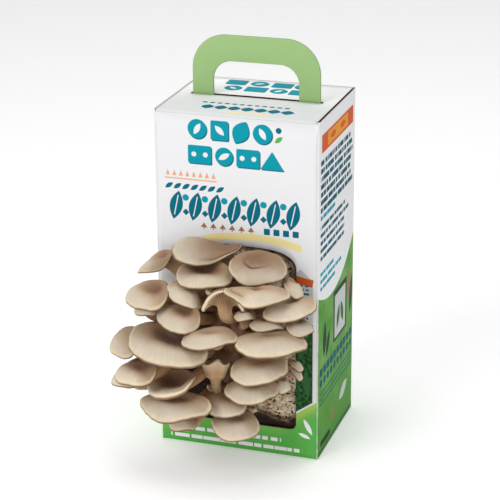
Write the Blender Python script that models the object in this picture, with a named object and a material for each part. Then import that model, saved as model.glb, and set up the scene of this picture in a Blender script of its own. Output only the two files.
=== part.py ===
"""Oyster mushroom grow kit: a carton with a carry handle, a bagged growing block, and its mushrooms.

Metres, +Z up. The origin is the middle of the carton's underside, and the window faces -Y.
"""

import math
from dataclasses import dataclass

import bmesh
import bpy
import numpy as np

MM = 0.001

# Carton
CARTON_WIDTH = 114 * MM
CARTON_DEPTH = 90 * MM
CARTON_HEIGHT = 241 * MM
BOARD = 0.8 * MM
FOLD_RADIUS = 1.4 * MM
FIT_GAP = 0.3 * MM  # clear space between pieces that rest on each other
BOTTOM_SEAM_Y = 14 * MM
BOTTOM_SEAM = 0.6 * MM
DUST_FLAP_REACH = 38 * MM

# Window in the front panel: straight sides, small lower corners, a flat arch above
WINDOW_HALF = 41.5 * MM
WINDOW_SILL = 22 * MM
WINDOW_SPRING = 139 * MM
WINDOW_ARCH_RISE = 12.5 * MM
WINDOW_CORNER = 4 * MM

# Lid: the top panel, hinged on the front fold and tucked in at the back
LID_SIDE_GAP = 0.9 * MM
LID_TUCK = 15 * MM
SLOT_LENGTH = 93 * MM
SLOT_WIDTH = 3.2 * MM

# Carry handle: an upright loop that passes the slot, on a flap under the lid
HANDLE_WIDTH = 90 * MM
HANDLE_LEG = 15 * MM
HANDLE_BOARD = 1.6 * MM
HANDLE_TOP = 283 * MM
HANDLE_GRIP = 18 * MM
HANDLE_OUTER_RADIUS = 24 * MM
HANDLE_INNER_RADIUS = 13 * MM
HANDLE_SHOULDER_BOTTOM = 233 * MM
HANDLE_FLAP_DROP = 13 * MM

# Growing block and its bag
BLOCK_HALF_WIDTH = 54 * MM
BLOCK_FRONT = -41.2 * MM
BLOCK_BACK = 42 * MM
BLOCK_BOTTOM = 4 * MM
BLOCK_TOP = 197 * MM
BLOCK_EDGE = 7 * MM
BLOCK_RELIEF = 0.7 * MM
BAG_FILM = 0.8 * MM
BAG_SLACK = 1.2 * MM  # room in the bag for the block's relief
MOUTH_LOW = (-43 * MM, 28.5 * MM)  # corners in X and Z of the cut in the film
MOUTH_HIGH = (40.5 * MM, 148 * MM)
MOUTH_CORNER = 8 * MM

# Base of the cluster: the grown-together foot that every stem rises from
BASE_CENTRE = np.array([-2, -42.5, 90]) * MM
BASE_HALF = np.array([24, 23, 46]) * MM
BASE_TURNS = 16

# Form that all caps and stems share
CAP_TURNS = 14
SMALL_CAP_TURNS = 10
SMALL_REACH = 8  # mm: caps no longer than this get fewer turns
FULLNESS = 0.9  # power that squares a cap's oval outline a little: 1 is an ellipse
SHOULDER = 0.6  # share of the way to the margin where a cap stands highest
STEM_FLARE = 1.15  # stem radius under the cap and at the base, over the nominal one
STEM_FOOT = 0.8


@dataclass
class Mushroom:
    """One cap and its stem. Lengths in mm, angles in degrees."""

    number: int
    at: tuple  # the funnel, where the cap's top dips over its stem
    yaw: float  # heading of the free margin: 0 is -Y, positive towards +X
    pitch: float  # fall of the cap towards its free margin
    roll: float  # lift of the right side, as seen from the free margin
    reach: float  # funnel to free margin
    left: float  # middle line to the side margins, as seen from the free margin
    right: float
    back: float  # funnel to the margin behind the stem
    rise: float = 3.0  # height of the shoulder above the funnel
    droop: float = 7.0  # fall of the margin below the shoulder
    ripple: tuple = (3, 1.0, 0)  # waves round the margin: count, height, phase
    stem: float = 4.2  # stem radius under the cap
    root: tuple = None  # where the stem leaves the base: turn from -Y towards +X, and height angle


# number, at, yaw, pitch, roll, reach, left, right, back, rise, droop, ripple, stem, root
MUSHROOMS = [
    Mushroom(1, (-46, -60, 145), -65, 24, -24, 20, 10, 9, 6),
    Mushroom(2, (-2, -59, 157), -60, 3, -16, 38, 17, 13, 8, droop=6),
    Mushroom(3, (-14, -72, 146), 0, 22, 0, 18, 18, 18, 8),
    Mushroom(4, (21, -67, 154), 20, 34, 0, 20, 19, 20, 11),
    Mushroom(5, (-46, -78, 129), -50, 20, -10, 22, 14, 16, 8, root=(-50, 24)),
    Mushroom(6, (-52, -76, 116), -35, 14, 0, 12, 9, 8, 5, root=(-60, 15)),
    Mushroom(7, (-22.5, -75, 131), -10, 20, -26, 13, 12.3, 14, 7),
    Mushroom(8, (1, -72, 128), 10, -25, 3, 13, 15, 13.6, 6, ripple=(2, 5, 90), root=(14, 22)),
    Mushroom(9, (26, -84.5, 138.8), 18, 20, 0, 13, 23, 22, 4, 2, root=(32, 34)),
    Mushroom(10, (44, -62, 137), 50, 15, -20, 14, 8, 8, 5, stem=3.4, root=(60, 39)),
    Mushroom(11, (44, -72, 126.7), 25, 18, 10, 15, 18, 17.5, 5, root=(56, 27)),
    Mushroom(12, (-23, -84, 119), -45, 26, -12, 23, 13, 15, 4, 2),
    Mushroom(13, (15, -74, 116), 10, 8, 0, 8, 7, 8, 4, droop=4, stem=3.2, root=(26, 14)),
    Mushroom(14, (32, -78, 116), 18, 10, 0, 9, 12, 11, 4, stem=3, root=(45, 17)),
    Mushroom(15, (51, -70, 114), 40, 16, 0, 11, 10, 10, 5, droop=6, root=(62, 9)),
    Mushroom(16, (-67, -79, 95.5), -60, 30, -14, 17, 14, 11, 6, root=(-64, 3)),
    Mushroom(17, (-31, -87, 101.5), -20, 23, -5, 26, 30.5, 32, 9, root=(-32, 7)),
    Mushroom(18, (-1, -95, 109), 5, 18, 8, 12, 21, 17, 6),
    Mushroom(19, (35, -84, 107.5), 20, 18, 0, 18, 23, 25, 4, root=(40, 7)),
    Mushroom(20, (-53, -92, 79), -40, 20, 0, 19, 15, 13, 10, root=(-46, 0)),
    Mushroom(21, (-63, -84, 68), -45, 15, 0, 14, 12, 12, 6, root=(-54, -16)),
    Mushroom(22, (-32, -88, 69.5), -8, 33, 10, 18, 17, 21, 8, 1, -3, stem=3.8, root=(-31, -10)),
    Mushroom(23, (-3, -80, 77), 10, -20, 0, 9, 10, 10, 7, 0, -4, (5, 2.5, 90), 3, (-6, -26)),
    Mushroom(24, (28, -82, 87), 15, 24, 0, 18, 20, 20, 8, root=(34, -5)),
    Mushroom(25, (48, -64, 82), 50, 10, 0, 8, 5, 5, 4, 2, 3, stem=2.2, root=(64, 2)),
    Mushroom(26, (47, -64, 74.3), 40, 15, -20, 9, 5, 5, 4, 2, 3, stem=1.9, root=(64, -8)),
    Mushroom(27, (22, -80, 69), 15, 22, 0, 16, 20, 19, 7, stem=3.8),
    Mushroom(28, (-28, -92, 58), -12, 24, 6, 20, 27, 28, 5, 2, root=(-24, -24)),
    Mushroom(29, (-26, -80, 36), -10, 15, 0, 10, 12, 11, 5, stem=3.6, root=(-28, -55)),
    Mushroom(30, (6, -82, 61), 0, 28, 0, 18, 14, 13, 6, root=(12, -37)),
    Mushroom(31, (11, -84, 45), 10, 26, 0, 18, 17, 17, 6, root=(16, -52)),
    Mushroom(32, (20, -74, 48), 20, 20, 0, 4, 3, 3, 2, 1, 2, stem=1.6),
    Mushroom(33, (42, -70, 69.8), 30, 20, 0, 9, 5, 8, 3, stem=2.3, root=(50, -19)),
]


def clear_scene():
    for obj in list(bpy.data.objects):
        bpy.data.objects.remove(obj)


def finish_of(name, colour, roughness, metallic=0.0):
    """A plain Principled material."""
    material = bpy.data.materials.get(name) or bpy.data.materials.new(name)
    material.use_nodes = True
    shader = material.node_tree.nodes["Principled BSDF"]
    shader.inputs["Base Color"].default_value = (*colour, 1)
    shader.inputs["Roughness"].default_value = roughness
    shader.inputs["Metallic"].default_value = metallic
    return material


def object_from(name, mesh_builder, material=None, helper=False):
    """A scene object from a finished bmesh. A helper is only a cutter."""
    mesh = bpy.data.meshes.new(name)
    bmesh.ops.recalc_face_normals(mesh_builder, faces=mesh_builder.faces)
    mesh_builder.to_mesh(mesh)
    mesh_builder.free()
    obj = bpy.data.objects.new(name, mesh)
    bpy.context.scene.collection.objects.link(obj)
    if material:
        mesh.materials.append(material)
    if helper:
        obj.hide_render = True
        obj.display_type = "WIRE"
    return obj


def box_mesh(low, high, bevel=0.0, axis=None, segments=2):
    """A block between two corners. With an axis, only the edges along it are rounded."""
    bm = bmesh.new()
    bmesh.ops.create_cube(bm, size=1)
    low, high = np.array(low), np.array(high)
    for vert in bm.verts:
        vert.co = (low + high) / 2 + np.array(vert.co) * (high - low)
    if bevel:
        edges = [e for e in bm.edges if axis is None or runs_along(e, axis)]
        bmesh.ops.bevel(bm, geom=edges, offset=bevel, segments=segments, profile=0.5, affect="EDGES")
    return bm


def runs_along(edge, axis):
    return abs((edge.verts[1].co - edge.verts[0].co).normalized()[axis]) > 0.9


def prism_mesh(outline, low, high, axis=1):
    """A flat outline, given in the two other axes, extruded along this axis from low to high."""
    bm = bmesh.new()
    first, second = (a for a in range(3) if a != axis)
    ends = []
    for level in (low, high):
        points = np.full((len(outline), 3), level)
        points[:, [first, second]] = outline
        ends.append([bm.verts.new(p) for p in points])
        bm.faces.new(ends[-1])
    for i in range(len(outline)):
        bm.faces.new((ends[0][i - 1], ends[0][i], ends[1][i], ends[1][i - 1]))
    return bm


def combine(target, other, operation="DIFFERENCE"):
    """A Boolean that stays on the target as a modifier. The other object turns into a helper."""
    modifier = target.modifiers.new(operation.lower(), "BOOLEAN")
    modifier.operation = operation
    modifier.object = other
    other.hide_render = True
    other.display_type = "WIRE"


def arc(centre, radii, start, end, steps):
    """Points round an ellipse's arc, angles in degrees."""
    angles = np.radians(np.linspace(start, end, steps + 1))
    return [(centre[0] + radii[0] * math.cos(a), centre[1] + radii[1] * math.sin(a)) for a in angles]


def window_outline(steps=18):
    """Window edge in X and Z, anticlockwise from the lower right."""
    side, floor = WINDOW_HALF - WINDOW_CORNER, WINDOW_SILL + WINDOW_CORNER
    lower_right = arc((side, floor), (WINDOW_CORNER,) * 2, -90, 0, 3)
    lower_left = arc((-side, floor), (WINDOW_CORNER,) * 2, 180, 270, 3)
    across = np.cos(np.linspace(0, math.pi, steps + 1))  # crowded where the arch bends most
    arch = [(WINDOW_HALF * s, WINDOW_SPRING + WINDOW_ARCH_RISE * math.sqrt(1 - s**4)) for s in across]
    return lower_right + arch + lower_left


def carton_body(board):
    """Four walls and a two-layer bottom with an off-centre seam, folded from one sheet."""
    half_w, half_d = CARTON_WIDTH / 2, CARTON_DEPTH / 2
    body = object_from(
        "carton_body",
        box_mesh((-half_w, -half_d, 0), (half_w, half_d, CARTON_HEIGHT), FOLD_RADIUS, axis=2),
        board,
    )
    in_w, in_d = half_w - BOARD, half_d - BOARD
    past_top = CARTON_HEIGHT + 5 * MM
    inside = box_mesh((-in_w, -in_d, 2 * BOARD), (in_w, in_d, past_top), FOLD_RADIUS - BOARD, axis=2)
    combine(body, object_from("cut_inside", inside, helper=True))
    between_dust_flaps = half_w - DUST_FLAP_REACH
    thin = box_mesh(
        (-between_dust_flaps, -in_d + MM, BOARD),
        (between_dust_flaps, in_d - MM, 3 * BOARD),
    )
    combine(body, object_from("cut_between_dust_flaps", thin, helper=True))
    seam = box_mesh(
        (-in_w, BOTTOM_SEAM_Y - BOTTOM_SEAM / 2, -MM),
        (in_w, BOTTOM_SEAM_Y + BOTTOM_SEAM / 2, BOARD),
    )
    combine(body, object_from("cut_bottom_seam", seam, helper=True))
    window = prism_mesh(window_outline(), -half_d - 5 * MM, -in_d + 2 * MM)
    combine(body, object_from("cut_window", window, helper=True))
    lid_half = half_w - BOARD - LID_SIDE_GAP + FIT_GAP
    lid_seat = box_mesh(
        (-lid_half, -half_d - MM, CARTON_HEIGHT - FOLD_RADIUS - FIT_GAP),
        (lid_half, -in_d + MM, past_top),
    )
    combine(body, object_from("cut_lid_seat", lid_seat, helper=True))


def carton_lid(board):
    """Top panel with the handle's slot, rolled over the front fold, and its tuck inside the back wall."""
    half_x = CARTON_WIDTH / 2 - BOARD - LID_SIDE_GAP
    front = -CARTON_DEPTH / 2
    back = CARTON_DEPTH / 2 - BOARD - FIT_GAP
    top, below = CARTON_HEIGHT, CARTON_HEIGHT - BOARD
    outer_fold = arc((front + FOLD_RADIUS, top - FOLD_RADIUS), (FOLD_RADIUS,) * 2, 180, 90, 4)
    inner = FOLD_RADIUS - BOARD
    inner_fold = arc((front + FOLD_RADIUS, top - FOLD_RADIUS), (inner, inner), 90, 180, 3)
    tuck_outer = arc((back - FOLD_RADIUS, top - FOLD_RADIUS), (FOLD_RADIUS,) * 2, 90, 0, 3)
    tuck_inner = arc((back - FOLD_RADIUS, top - FOLD_RADIUS), (inner, inner), 0, 90, 3)
    tuck_end = [(back, top - LID_TUCK), (back - BOARD, top - LID_TUCK)]
    outline = outer_fold + tuck_outer + tuck_end + tuck_inner + inner_fold
    lid = object_from("carton_lid", prism_mesh(outline, -half_x, half_x, axis=0), board)
    slot = box_mesh(
        (-SLOT_LENGTH / 2, -SLOT_WIDTH / 2, below - MM),
        (SLOT_LENGTH / 2, SLOT_WIDTH / 2, top + MM),
    )
    combine(lid, object_from("cut_handle_slot", slot, helper=True))


def rounded_top(half, top, radius, steps):
    """Points in X and Z over two round shoulders, right to left."""
    right = arc((half - radius, top - radius), (radius, radius), 0, 90, steps)
    left = arc((radius - half, top - radius), (radius, radius), 90, 180, steps)
    return right + left


def carry_handle(board):
    """A loop up through the slot, with a shoulder below the lid and a flap to the rear wall."""
    half, inner = HANDLE_WIDTH / 2, HANDLE_WIDTH / 2 - HANDLE_LEG
    half_board = HANDLE_BOARD / 2
    shoulder_top = CARTON_HEIGHT - BOARD - FIT_GAP
    outer_edge = rounded_top(half, HANDLE_TOP, HANDLE_OUTER_RADIUS, 6)
    loop = [(half, HANDLE_SHOULDER_BOTTOM)] + outer_edge + [(-half, HANDLE_SHOULDER_BOTTOM)]
    handle = object_from("carry_handle", prism_mesh(loop, -half_board, half_board), board)
    grip_edge = rounded_top(inner, HANDLE_TOP - HANDLE_GRIP, HANDLE_INNER_RADIUS, 5)
    opening = [(inner, shoulder_top)] + grip_edge + [(-inner, shoulder_top)]
    combine(handle, object_from("cut_grip", prism_mesh(opening, -5 * MM, 5 * MM), helper=True))
    back = CARTON_DEPTH / 2 - BOARD - FIT_GAP - BOARD - FIT_GAP
    flap = box_mesh((-half, 0, shoulder_top - BOARD), (half, back, shoulder_top))
    combine(handle, object_from("add_flap", flap, helper=True), "UNION")
    hem_bottom = shoulder_top - HANDLE_FLAP_DROP
    hem = box_mesh((-half, back - BOARD, hem_bottom), (half, back, shoulder_top))
    combine(handle, object_from("add_hem", hem, helper=True), "UNION")


def block_ring(inset, grow=0.0, front_steps=13):
    """One level of the block in X and Y: a rectangle with round corners, most points on its front."""
    half = BLOCK_HALF_WIDTH + grow - inset
    front, back = BLOCK_FRONT - grow + inset, BLOCK_BACK + grow - inset
    edge = BLOCK_EDGE
    face_x = np.linspace(-half + edge, half - edge, front_steps + 1)
    ring = arc((edge - half, front + edge), (edge, edge), 180, 270, 3)[:-1]
    ring += [(x, front) for x in face_x]
    ring += arc((half - edge, front + edge), (edge, edge), 270, 360, 3)[1:]
    ring += arc((half - edge, back - edge), (edge, edge), 0, 90, 2)
    ring += arc((edge - half, back - edge), (edge, edge), 90, 180, 2)
    return ring


def block_levels(grow=0.0, steps=15):
    """Heights and insets of the rings from the bottom to the top."""
    low, high, edge = BLOCK_BOTTOM - grow, BLOCK_TOP + grow, BLOCK_EDGE
    ends = [(0.0, edge), (edge * 0.3, edge * 0.28), (edge, 0.0)]
    middle = [(z, 0.0) for z in np.linspace(low + edge, high - edge, steps + 1)[1:-1]]
    return [(low + h, i) for h, i in ends] + middle + [(high - h, i) for h, i in reversed(ends)]


def relief(x, z):
    """Height of the growing block's lumps at a place on its front, flat behind the cluster's base."""
    u, v = x / MM, z / MM
    spread = math.hypot((x - BASE_CENTRE[0]) / BASE_HALF[0], (z - BASE_CENTRE[2]) / BASE_HALF[2])
    fade = min(1.0, max(0.0, 2.5 * (spread - 1.3)))
    waves = math.sin(0.21 * u + 1.3) * math.cos(0.17 * v) + math.sin(0.34 * v + 0.19 * u)
    return fade * BLOCK_RELIEF * (0.5 * waves + 0.35 * math.sin(0.71 * u - 0.53 * v))


def rings_mesh(rings, cap_points=(None, None)):
    """Closed skin over rings of equal count. An end closes on its cap point, or flat without one."""
    bm = bmesh.new()
    loops = [[bm.verts.new(p) for p in ring] for ring in rings]
    count = len(loops[0])
    for low, high in zip(loops, loops[1:]):
        for i in range(count):
            j = (i + 1) % count
            bm.faces.new((low[i], low[j], high[j], high[i]))
    for loop, point in ((loops[0], cap_points[0]), (loops[-1], cap_points[1])):
        if point is None:
            bm.faces.new(loop)
        else:
            tip = bm.verts.new(point)
            for i in range(count):
                bm.faces.new((loop[i], loop[(i + 1) % count], tip))
    return bm


def growing_block(material):
    """Pressed sawdust block with a lumpy front."""
    rings = []
    for z, inset in block_levels():
        ring = []
        for x, y in block_ring(inset):
            on_front = y <= BLOCK_FRONT + 1e-6 and inset == 0
            ring.append((x, y - relief(x, z) if on_front else y, z))
        rings.append(ring)
    object_from("growing_block", rings_mesh(rings), material)


def bag_solid(name, grow, material=None, helper=False):
    """The block's own form, this much larger all round and with fewer points."""
    rings = [[(x, y, z) for x, y in block_ring(inset, grow, 1)] for z, inset in block_levels(grow, 1)]
    return object_from(name, rings_mesh(rings), material, helper)


def grow_bag(film):
    """Plastic film round the block, cut away where the cluster grows out."""
    bag = bag_solid("grow_bag", BAG_SLACK + BAG_FILM, film)
    combine(bag, bag_solid("cut_bag_inside", BAG_SLACK, helper=True))
    mouth = box_mesh(
        (MOUTH_LOW[0], BLOCK_FRONT - 10 * MM, MOUTH_LOW[1]),
        (MOUTH_HIGH[0], BLOCK_FRONT + 2 * MM, MOUTH_HIGH[1]),
        MOUTH_CORNER,
        axis=1,
        segments=3,
    )
    combine(bag, object_from("cut_bag_mouth", mouth, helper=True))


def base_point(lift, turn):
    """A point of the base: lift 0 is its widest level, lift 90 degrees its tip towards -Y."""
    ways = np.array([math.cos(lift) * math.cos(turn), -math.sin(lift), math.cos(lift) * math.sin(turn)])
    return BASE_CENTRE + BASE_HALF * ways


def cluster_base(flesh):
    """Half an ellipsoid, flat against the growing block."""
    turns = np.linspace(0, 2 * math.pi, BASE_TURNS, endpoint=False)
    back = BLOCK_FRONT - FIT_GAP
    first = math.asin((BASE_CENTRE[1] - back) / BASE_HALF[1])
    lifts = np.linspace(first, math.radians(70), 5)
    rings = [[base_point(lift, turn) for turn in turns] for lift in lifts]
    object_from("cluster_base", rings_mesh(rings, (None, base_point(math.pi / 2, 0))), flesh)


def unit(vector):
    return vector / np.linalg.norm(vector)


def cap_axes(m):
    """Heading, right-hand side and upward normal of a cap."""
    yaw, pitch, roll = (math.radians(a) for a in (m.yaw, m.pitch, m.roll))
    level = np.array([math.sin(yaw), -math.cos(yaw), 0.0])
    heading = level * math.cos(pitch) - np.array([0, 0, math.sin(pitch)])
    side = np.array([math.cos(yaw), math.sin(yaw), 0.0])
    normal = np.cross(heading, side)
    rolled_side = side * math.cos(roll) + normal * math.sin(roll)
    return heading, rolled_side, np.cross(heading, rolled_side)


def margin_plan(m, turn):
    """Margin's place ahead of the funnel and to its right: an oval through both ends and both sides."""
    half_length = (m.reach + m.back) / 2
    half_width = m.right if math.sin(turn) >= 0 else m.left
    ahead = math.copysign(abs(math.cos(turn)) ** FULLNESS, math.cos(turn))
    aside = math.copysign(abs(math.sin(turn)) ** FULLNESS, math.sin(turn))
    return (m.reach - half_length + half_length * ahead) * MM, half_width * aside * MM


def cap_height(m, share, turn):
    """Height of the top skin over the funnel, at a share of the way to the margin.

    It climbs to a shoulder and falls to the margin, both less at the back, and ripples at the margin.
    """
    count, height, phase = m.ripple
    share = min(1.0, share)
    ripple = height * share**2 * math.sin(count * turn + math.radians(phase))
    climb = m.rise * math.sin(min(1.0, share / SHOULDER) * math.pi / 2)
    climb *= 0.3 + 0.7 * (1 + math.cos(turn)) / 2
    fall = m.droop * share**2.5 * (0.2 + 0.8 * min(1.0, 1 + math.cos(turn)))
    return (climb - fall + ripple) * MM


def cap_point(m, share, turn, sink=0.0):
    """A point of the cap's skin, sunk this far below the top."""
    heading, side, normal = cap_axes(m)
    ahead, aside = margin_plan(m, turn)
    flat = share * (ahead * heading + aside * side)
    return np.array(m.at) * MM + flat + normal * (cap_height(m, share, turn) - sink)


def cap_thickness(m):
    """How far the gills lie below the top, in mm."""
    return max(2.0, 0.08 * (m.left + m.right) + 1.5)


def under_share(m, turn):
    """Share of the way to the margin where the underside turns into the stem."""
    return max(0.55, 1.2 * m.stem * MM / math.hypot(*margin_plan(m, turn)))


def root_point(m):
    """Where a stem meets the base, and the way out of the base there."""
    if m.root:
        turn, lift = (math.radians(a) for a in m.root)
        way = np.array([math.sin(turn) * math.cos(lift), -math.cos(turn) * math.cos(lift), math.sin(lift)])
    else:
        way = (np.array(m.at) * MM - BASE_CENTRE) / BASE_HALF
    way = unit(way)
    return BASE_CENTRE + BASE_HALF * way, unit(way / BASE_HALF)


def stem_path(m):
    """Centres and directions of the stem's rings, from under the cap to the base."""
    heading, _, normal = cap_axes(m)
    top = np.array(m.at) * MM - normal * (cap_thickness(m) + m.stem) * MM
    foot, outwards = root_point(m)
    length = np.linalg.norm(top - foot)
    foot = foot + outwards * FIT_GAP
    pull = 0.35 * length
    bends = [top, top - (normal * 0.87 + heading * 0.5) * pull, foot + outwards * pull, foot]
    for t in (0.0, 0.5, 1.0):
        weights = ((1 - t) ** 3, 3 * t * (1 - t) ** 2, 3 * t * t * (1 - t), t**3)
        slopes = (-3 * (1 - t) ** 2, 3 * (1 - t) * (1 - 3 * t), 3 * t * (2 - 3 * t), 3 * t * t)
        centre = sum(weight * bend for weight, bend in zip(weights, bends))
        along = unit(sum(slope * bend for slope, bend in zip(slopes, bends)))
        yield t, centre, along


def onto_base(point, direction):
    """Slides a point along a direction until it stands just off the base."""
    half = BASE_HALF + FIT_GAP
    p, d = (point - BASE_CENTRE) / half, direction / half
    a, b, c = d @ d, p @ d, p @ p - 1
    root = b * b - a * c
    step = (-b - math.sqrt(root)) / a if root > 0 else -b / a
    return point + direction * step


def mushroom(m, flesh):
    """Cap and stem as one skin: over the top, round the margin, back under the gills, down the stem."""
    count = CAP_TURNS if m.reach > SMALL_REACH else SMALL_CAP_TURNS
    turns = np.linspace(0, 2 * math.pi, count, endpoint=False)
    thick = cap_thickness(m) * MM
    rings = [
        [cap_point(m, 0.5, a) for a in turns],
        [cap_point(m, 0.88, a) for a in turns],
        [cap_point(m, 1.0, a, 0.3 * thick) for a in turns],
        [cap_point(m, under_share(m, a), a, thick) for a in turns],
    ]
    _, side, _ = cap_axes(m)
    for t, centre, along in stem_path(m):
        across = unit(side - (side @ along) * along)
        ahead = np.cross(along, across)
        radius = m.stem * MM * (STEM_FLARE + (STEM_FOOT - STEM_FLARE) * t)
        ring = [centre + radius * (math.cos(a) * ahead + math.sin(a) * across) for a in turns]
        rings.append([onto_base(p, along) for p in ring] if t == 1.0 else ring)
    foot = onto_base(centre, along)
    object_from(f"mushroom_{m.number:02d}", rings_mesh(rings, (np.array(m.at) * MM, foot)), flesh)


def main():
    clear_scene()
    white_board = finish_of("white_board", (0.82, 0.82, 0.83), 0.45)
    green_board = finish_of("green_board", (0.33, 0.52, 0.20), 0.5)
    film = finish_of("bag_film", (0.05, 0.035, 0.03), 0.25)
    sawdust = finish_of("sawdust", (0.42, 0.31, 0.21), 0.9)
    flesh = finish_of("mushroom_flesh", (0.62, 0.52, 0.41), 0.6)
    carton_body(white_board)
    carton_lid(white_board)
    carry_handle(green_board)
    growing_block(sawdust)
    grow_bag(film)
    cluster_base(flesh)
    for m in MUSHROOMS:
        mushroom(m, flesh)


main()
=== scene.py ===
import math
from dataclasses import dataclass

import bmesh
import bpy
import numpy as np
from mathutils import Matrix


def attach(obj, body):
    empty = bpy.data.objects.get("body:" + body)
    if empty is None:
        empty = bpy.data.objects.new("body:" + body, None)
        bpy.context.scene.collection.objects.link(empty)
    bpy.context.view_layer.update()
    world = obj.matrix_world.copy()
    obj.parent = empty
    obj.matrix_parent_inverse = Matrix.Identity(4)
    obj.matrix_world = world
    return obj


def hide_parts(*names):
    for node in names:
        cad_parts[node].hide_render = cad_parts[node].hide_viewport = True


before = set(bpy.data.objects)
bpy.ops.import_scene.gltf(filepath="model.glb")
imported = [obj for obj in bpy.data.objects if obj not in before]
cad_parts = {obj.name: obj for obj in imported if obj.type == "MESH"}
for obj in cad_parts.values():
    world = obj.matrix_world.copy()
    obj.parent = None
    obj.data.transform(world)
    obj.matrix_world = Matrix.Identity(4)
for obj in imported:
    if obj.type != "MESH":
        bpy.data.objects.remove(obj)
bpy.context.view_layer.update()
mm = 0.001
print("frame loaded")


def ink(*screen):  # a colour as seen on screen, 0 to 255, turned into linear light
    light = [v / 3294.6 if v < 10.3 else ((v / 255 + 0.055) / 1.055) ** 2.4 for v in screen]
    return (*light, 1.0)


def unit(v):
    return v / np.linalg.norm(v, axis=-1, keepdims=True)


def wayOut(turn, lift):  # the direction at this turn from -Y towards +X and this height angle, in degrees
    turn, lift = math.radians(turn), math.radians(lift)
    return np.array([math.sin(turn) * math.cos(lift), -math.cos(turn) * math.cos(lift), math.sin(lift)])


def smoothStep(x, low, high):
    t = np.clip((x - low) / (high - low), 0, 1)
    return t * t * (3 - 2 * t)


def newPiece(name, points, faceGroups):
    # points is n by 3 in metres, and each face group holds faces with one number of corners
    corners = np.concatenate([g.ravel() for g in faceGroups]).astype(np.int32)
    sizes = np.concatenate([np.full(len(g), g.shape[1]) for g in faceGroups])
    mesh = bpy.data.meshes.new(name)
    mesh.vertices.add(len(points))
    mesh.vertices.foreach_set("co", np.asarray(points, np.float32).ravel())
    mesh.loops.add(len(corners))
    mesh.loops.foreach_set("vertex_index", corners)
    mesh.polygons.add(len(sizes))
    mesh.polygons.foreach_set("loop_start", (np.cumsum(sizes) - sizes).astype(np.int32))
    mesh.polygons.foreach_set("use_smooth", np.full(len(sizes), True))
    mesh.update(calc_edges=True)
    piece = bpy.data.objects.new(name, mesh)
    bpy.context.scene.collection.objects.link(piece)
    return piece


def setAttribute(piece, name, values):
    kind, field = ("FLOAT_VECTOR", "vector") if values.ndim == 2 else ("FLOAT", "value")
    data = piece.data.attributes.new(name, kind, "POINT").data
    data.foreach_set(field, values.astype(np.float32).ravel())


def gridPoints(x, y, z):  # one point for each row and column, from arrays that fill up each other's
    return np.stack(np.broadcast_arrays(x, y, z), -1).reshape(-1, 3)


def gridFaces(first, rows, columns, closed=True):
    # quads of a grid whose columns run round a ring, or stop at the last column when it isn't closed
    ids = first + np.arange(rows * columns).reshape(rows, columns)
    right = np.roll(ids, -1, 1)
    quads = np.stack([ids[:-1], ids[1:], right[1:], right[:-1]], -1)
    return quads.reshape(-1, 4) if closed else quads[:, :-1].reshape(-1, 4)


def fan(ring, tip):  # triangles that close a ring over one point
    return np.stack([ring, np.full(len(ring), tip), np.roll(ring, -1)], 1)


def stitchFaces(coarse, fine, flip=False):
    # triangles between a ring of n and a ring of 4n points, coarse before fine
    nextCoarse = np.roll(coarse, -1)
    f = [np.roll(fine, -k)[::4] for k in range(5)]
    triangles = [(coarse, f[0], f[1]), (coarse, f[1], f[2]), (coarse, f[2], nextCoarse),
                 (nextCoarse, f[2], f[3]), (nextCoarse, f[3], f[4])]
    faces = np.concatenate([np.stack(t, 1) for t in triangles])
    return faces[:, ::-1] if flip else faces


def valueNoise(points, size, seed):
    # random numbers on a cubic lattice of this size, blended with a smooth step: 0 to 1
    table = np.random.default_rng(seed).random((32, 32, 32))
    q = points / size
    low = np.floor(q).astype(int)
    f = smoothStep(q - low, 0, 1)
    total = 0
    for corner in range(8):
        step = np.array([corner & 1, corner >> 1 & 1, corner >> 2 & 1])
        weight = np.prod(np.where(step, f, 1 - f), -1)
        cell = (low + step) % 32
        total = total + weight * table[cell[..., 0], cell[..., 1], cell[..., 2]]
    return total


class Wire:  # a node's output: arithmetic with it adds Math nodes to its tree
    def __init__(self, socket):
        self.socket = socket
        self.tree = socket.id_data

    def __abs__(self):
        return calc("ABSOLUTE", self)


operators = {"add": "ADD", "sub": "SUBTRACT", "mul": "MULTIPLY", "truediv": "DIVIDE", "pow": "POWER"}
for word, mathKind in operators.items():
    setattr(Wire, f"__{word}__", lambda a, b, kind=mathKind: calc(kind, a, b))
    setattr(Wire, f"__r{word}__", lambda a, b, kind=mathKind: calc(kind, b, a))


def treeOf(values):  # the tree that the first wire among these is in
    return next(v.tree for v in values if isinstance(v, Wire))


def feed(socket, value):
    if isinstance(value, Wire):
        value.tree.links.new(value.socket, socket)
    else:
        socket.default_value = value


def addNode(tree, kind, inputs=None, output=0, **settings):
    node = tree.nodes.new("ShaderNode" + kind)
    for name, value in settings.items():
        setattr(node, name, value)
    for name, value in (inputs or {}).items():
        feed(node.inputs[name], value)
    return Wire(node.outputs[output])


def calc(kind, a, b=0.0):
    return addNode(treeOf((a, b)), "Math", {0: a, 1: b}, operation=kind)


def vectorCalc(kind, a, b=(0, 0, 0)):
    output = "Value" if kind == "LENGTH" else "Vector"
    return addNode(treeOf((a, b)), "VectorMath", {0: a, 1: b}, output, operation=kind)


def remap(value, low, high, toLow=0.0, toHigh=1.0, kind="LINEAR"):
    inputs = {"Value": value, "From Min": low, "From Max": high, "To Min": toLow, "To Max": toHigh}
    return addNode(value.tree, "MapRange", inputs, interpolation_type=kind)


def blend(factor, a, b, kind="MIX"):
    settings = {"data_type": "RGBA", "blend_type": kind}
    return addNode(treeOf((factor, a, b)), "Mix", {0: factor, 6: a, 7: b}, output=2, **settings)


def tint(colour, shade):
    return blend(1.0, colour, shade, "MULTIPLY")


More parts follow.
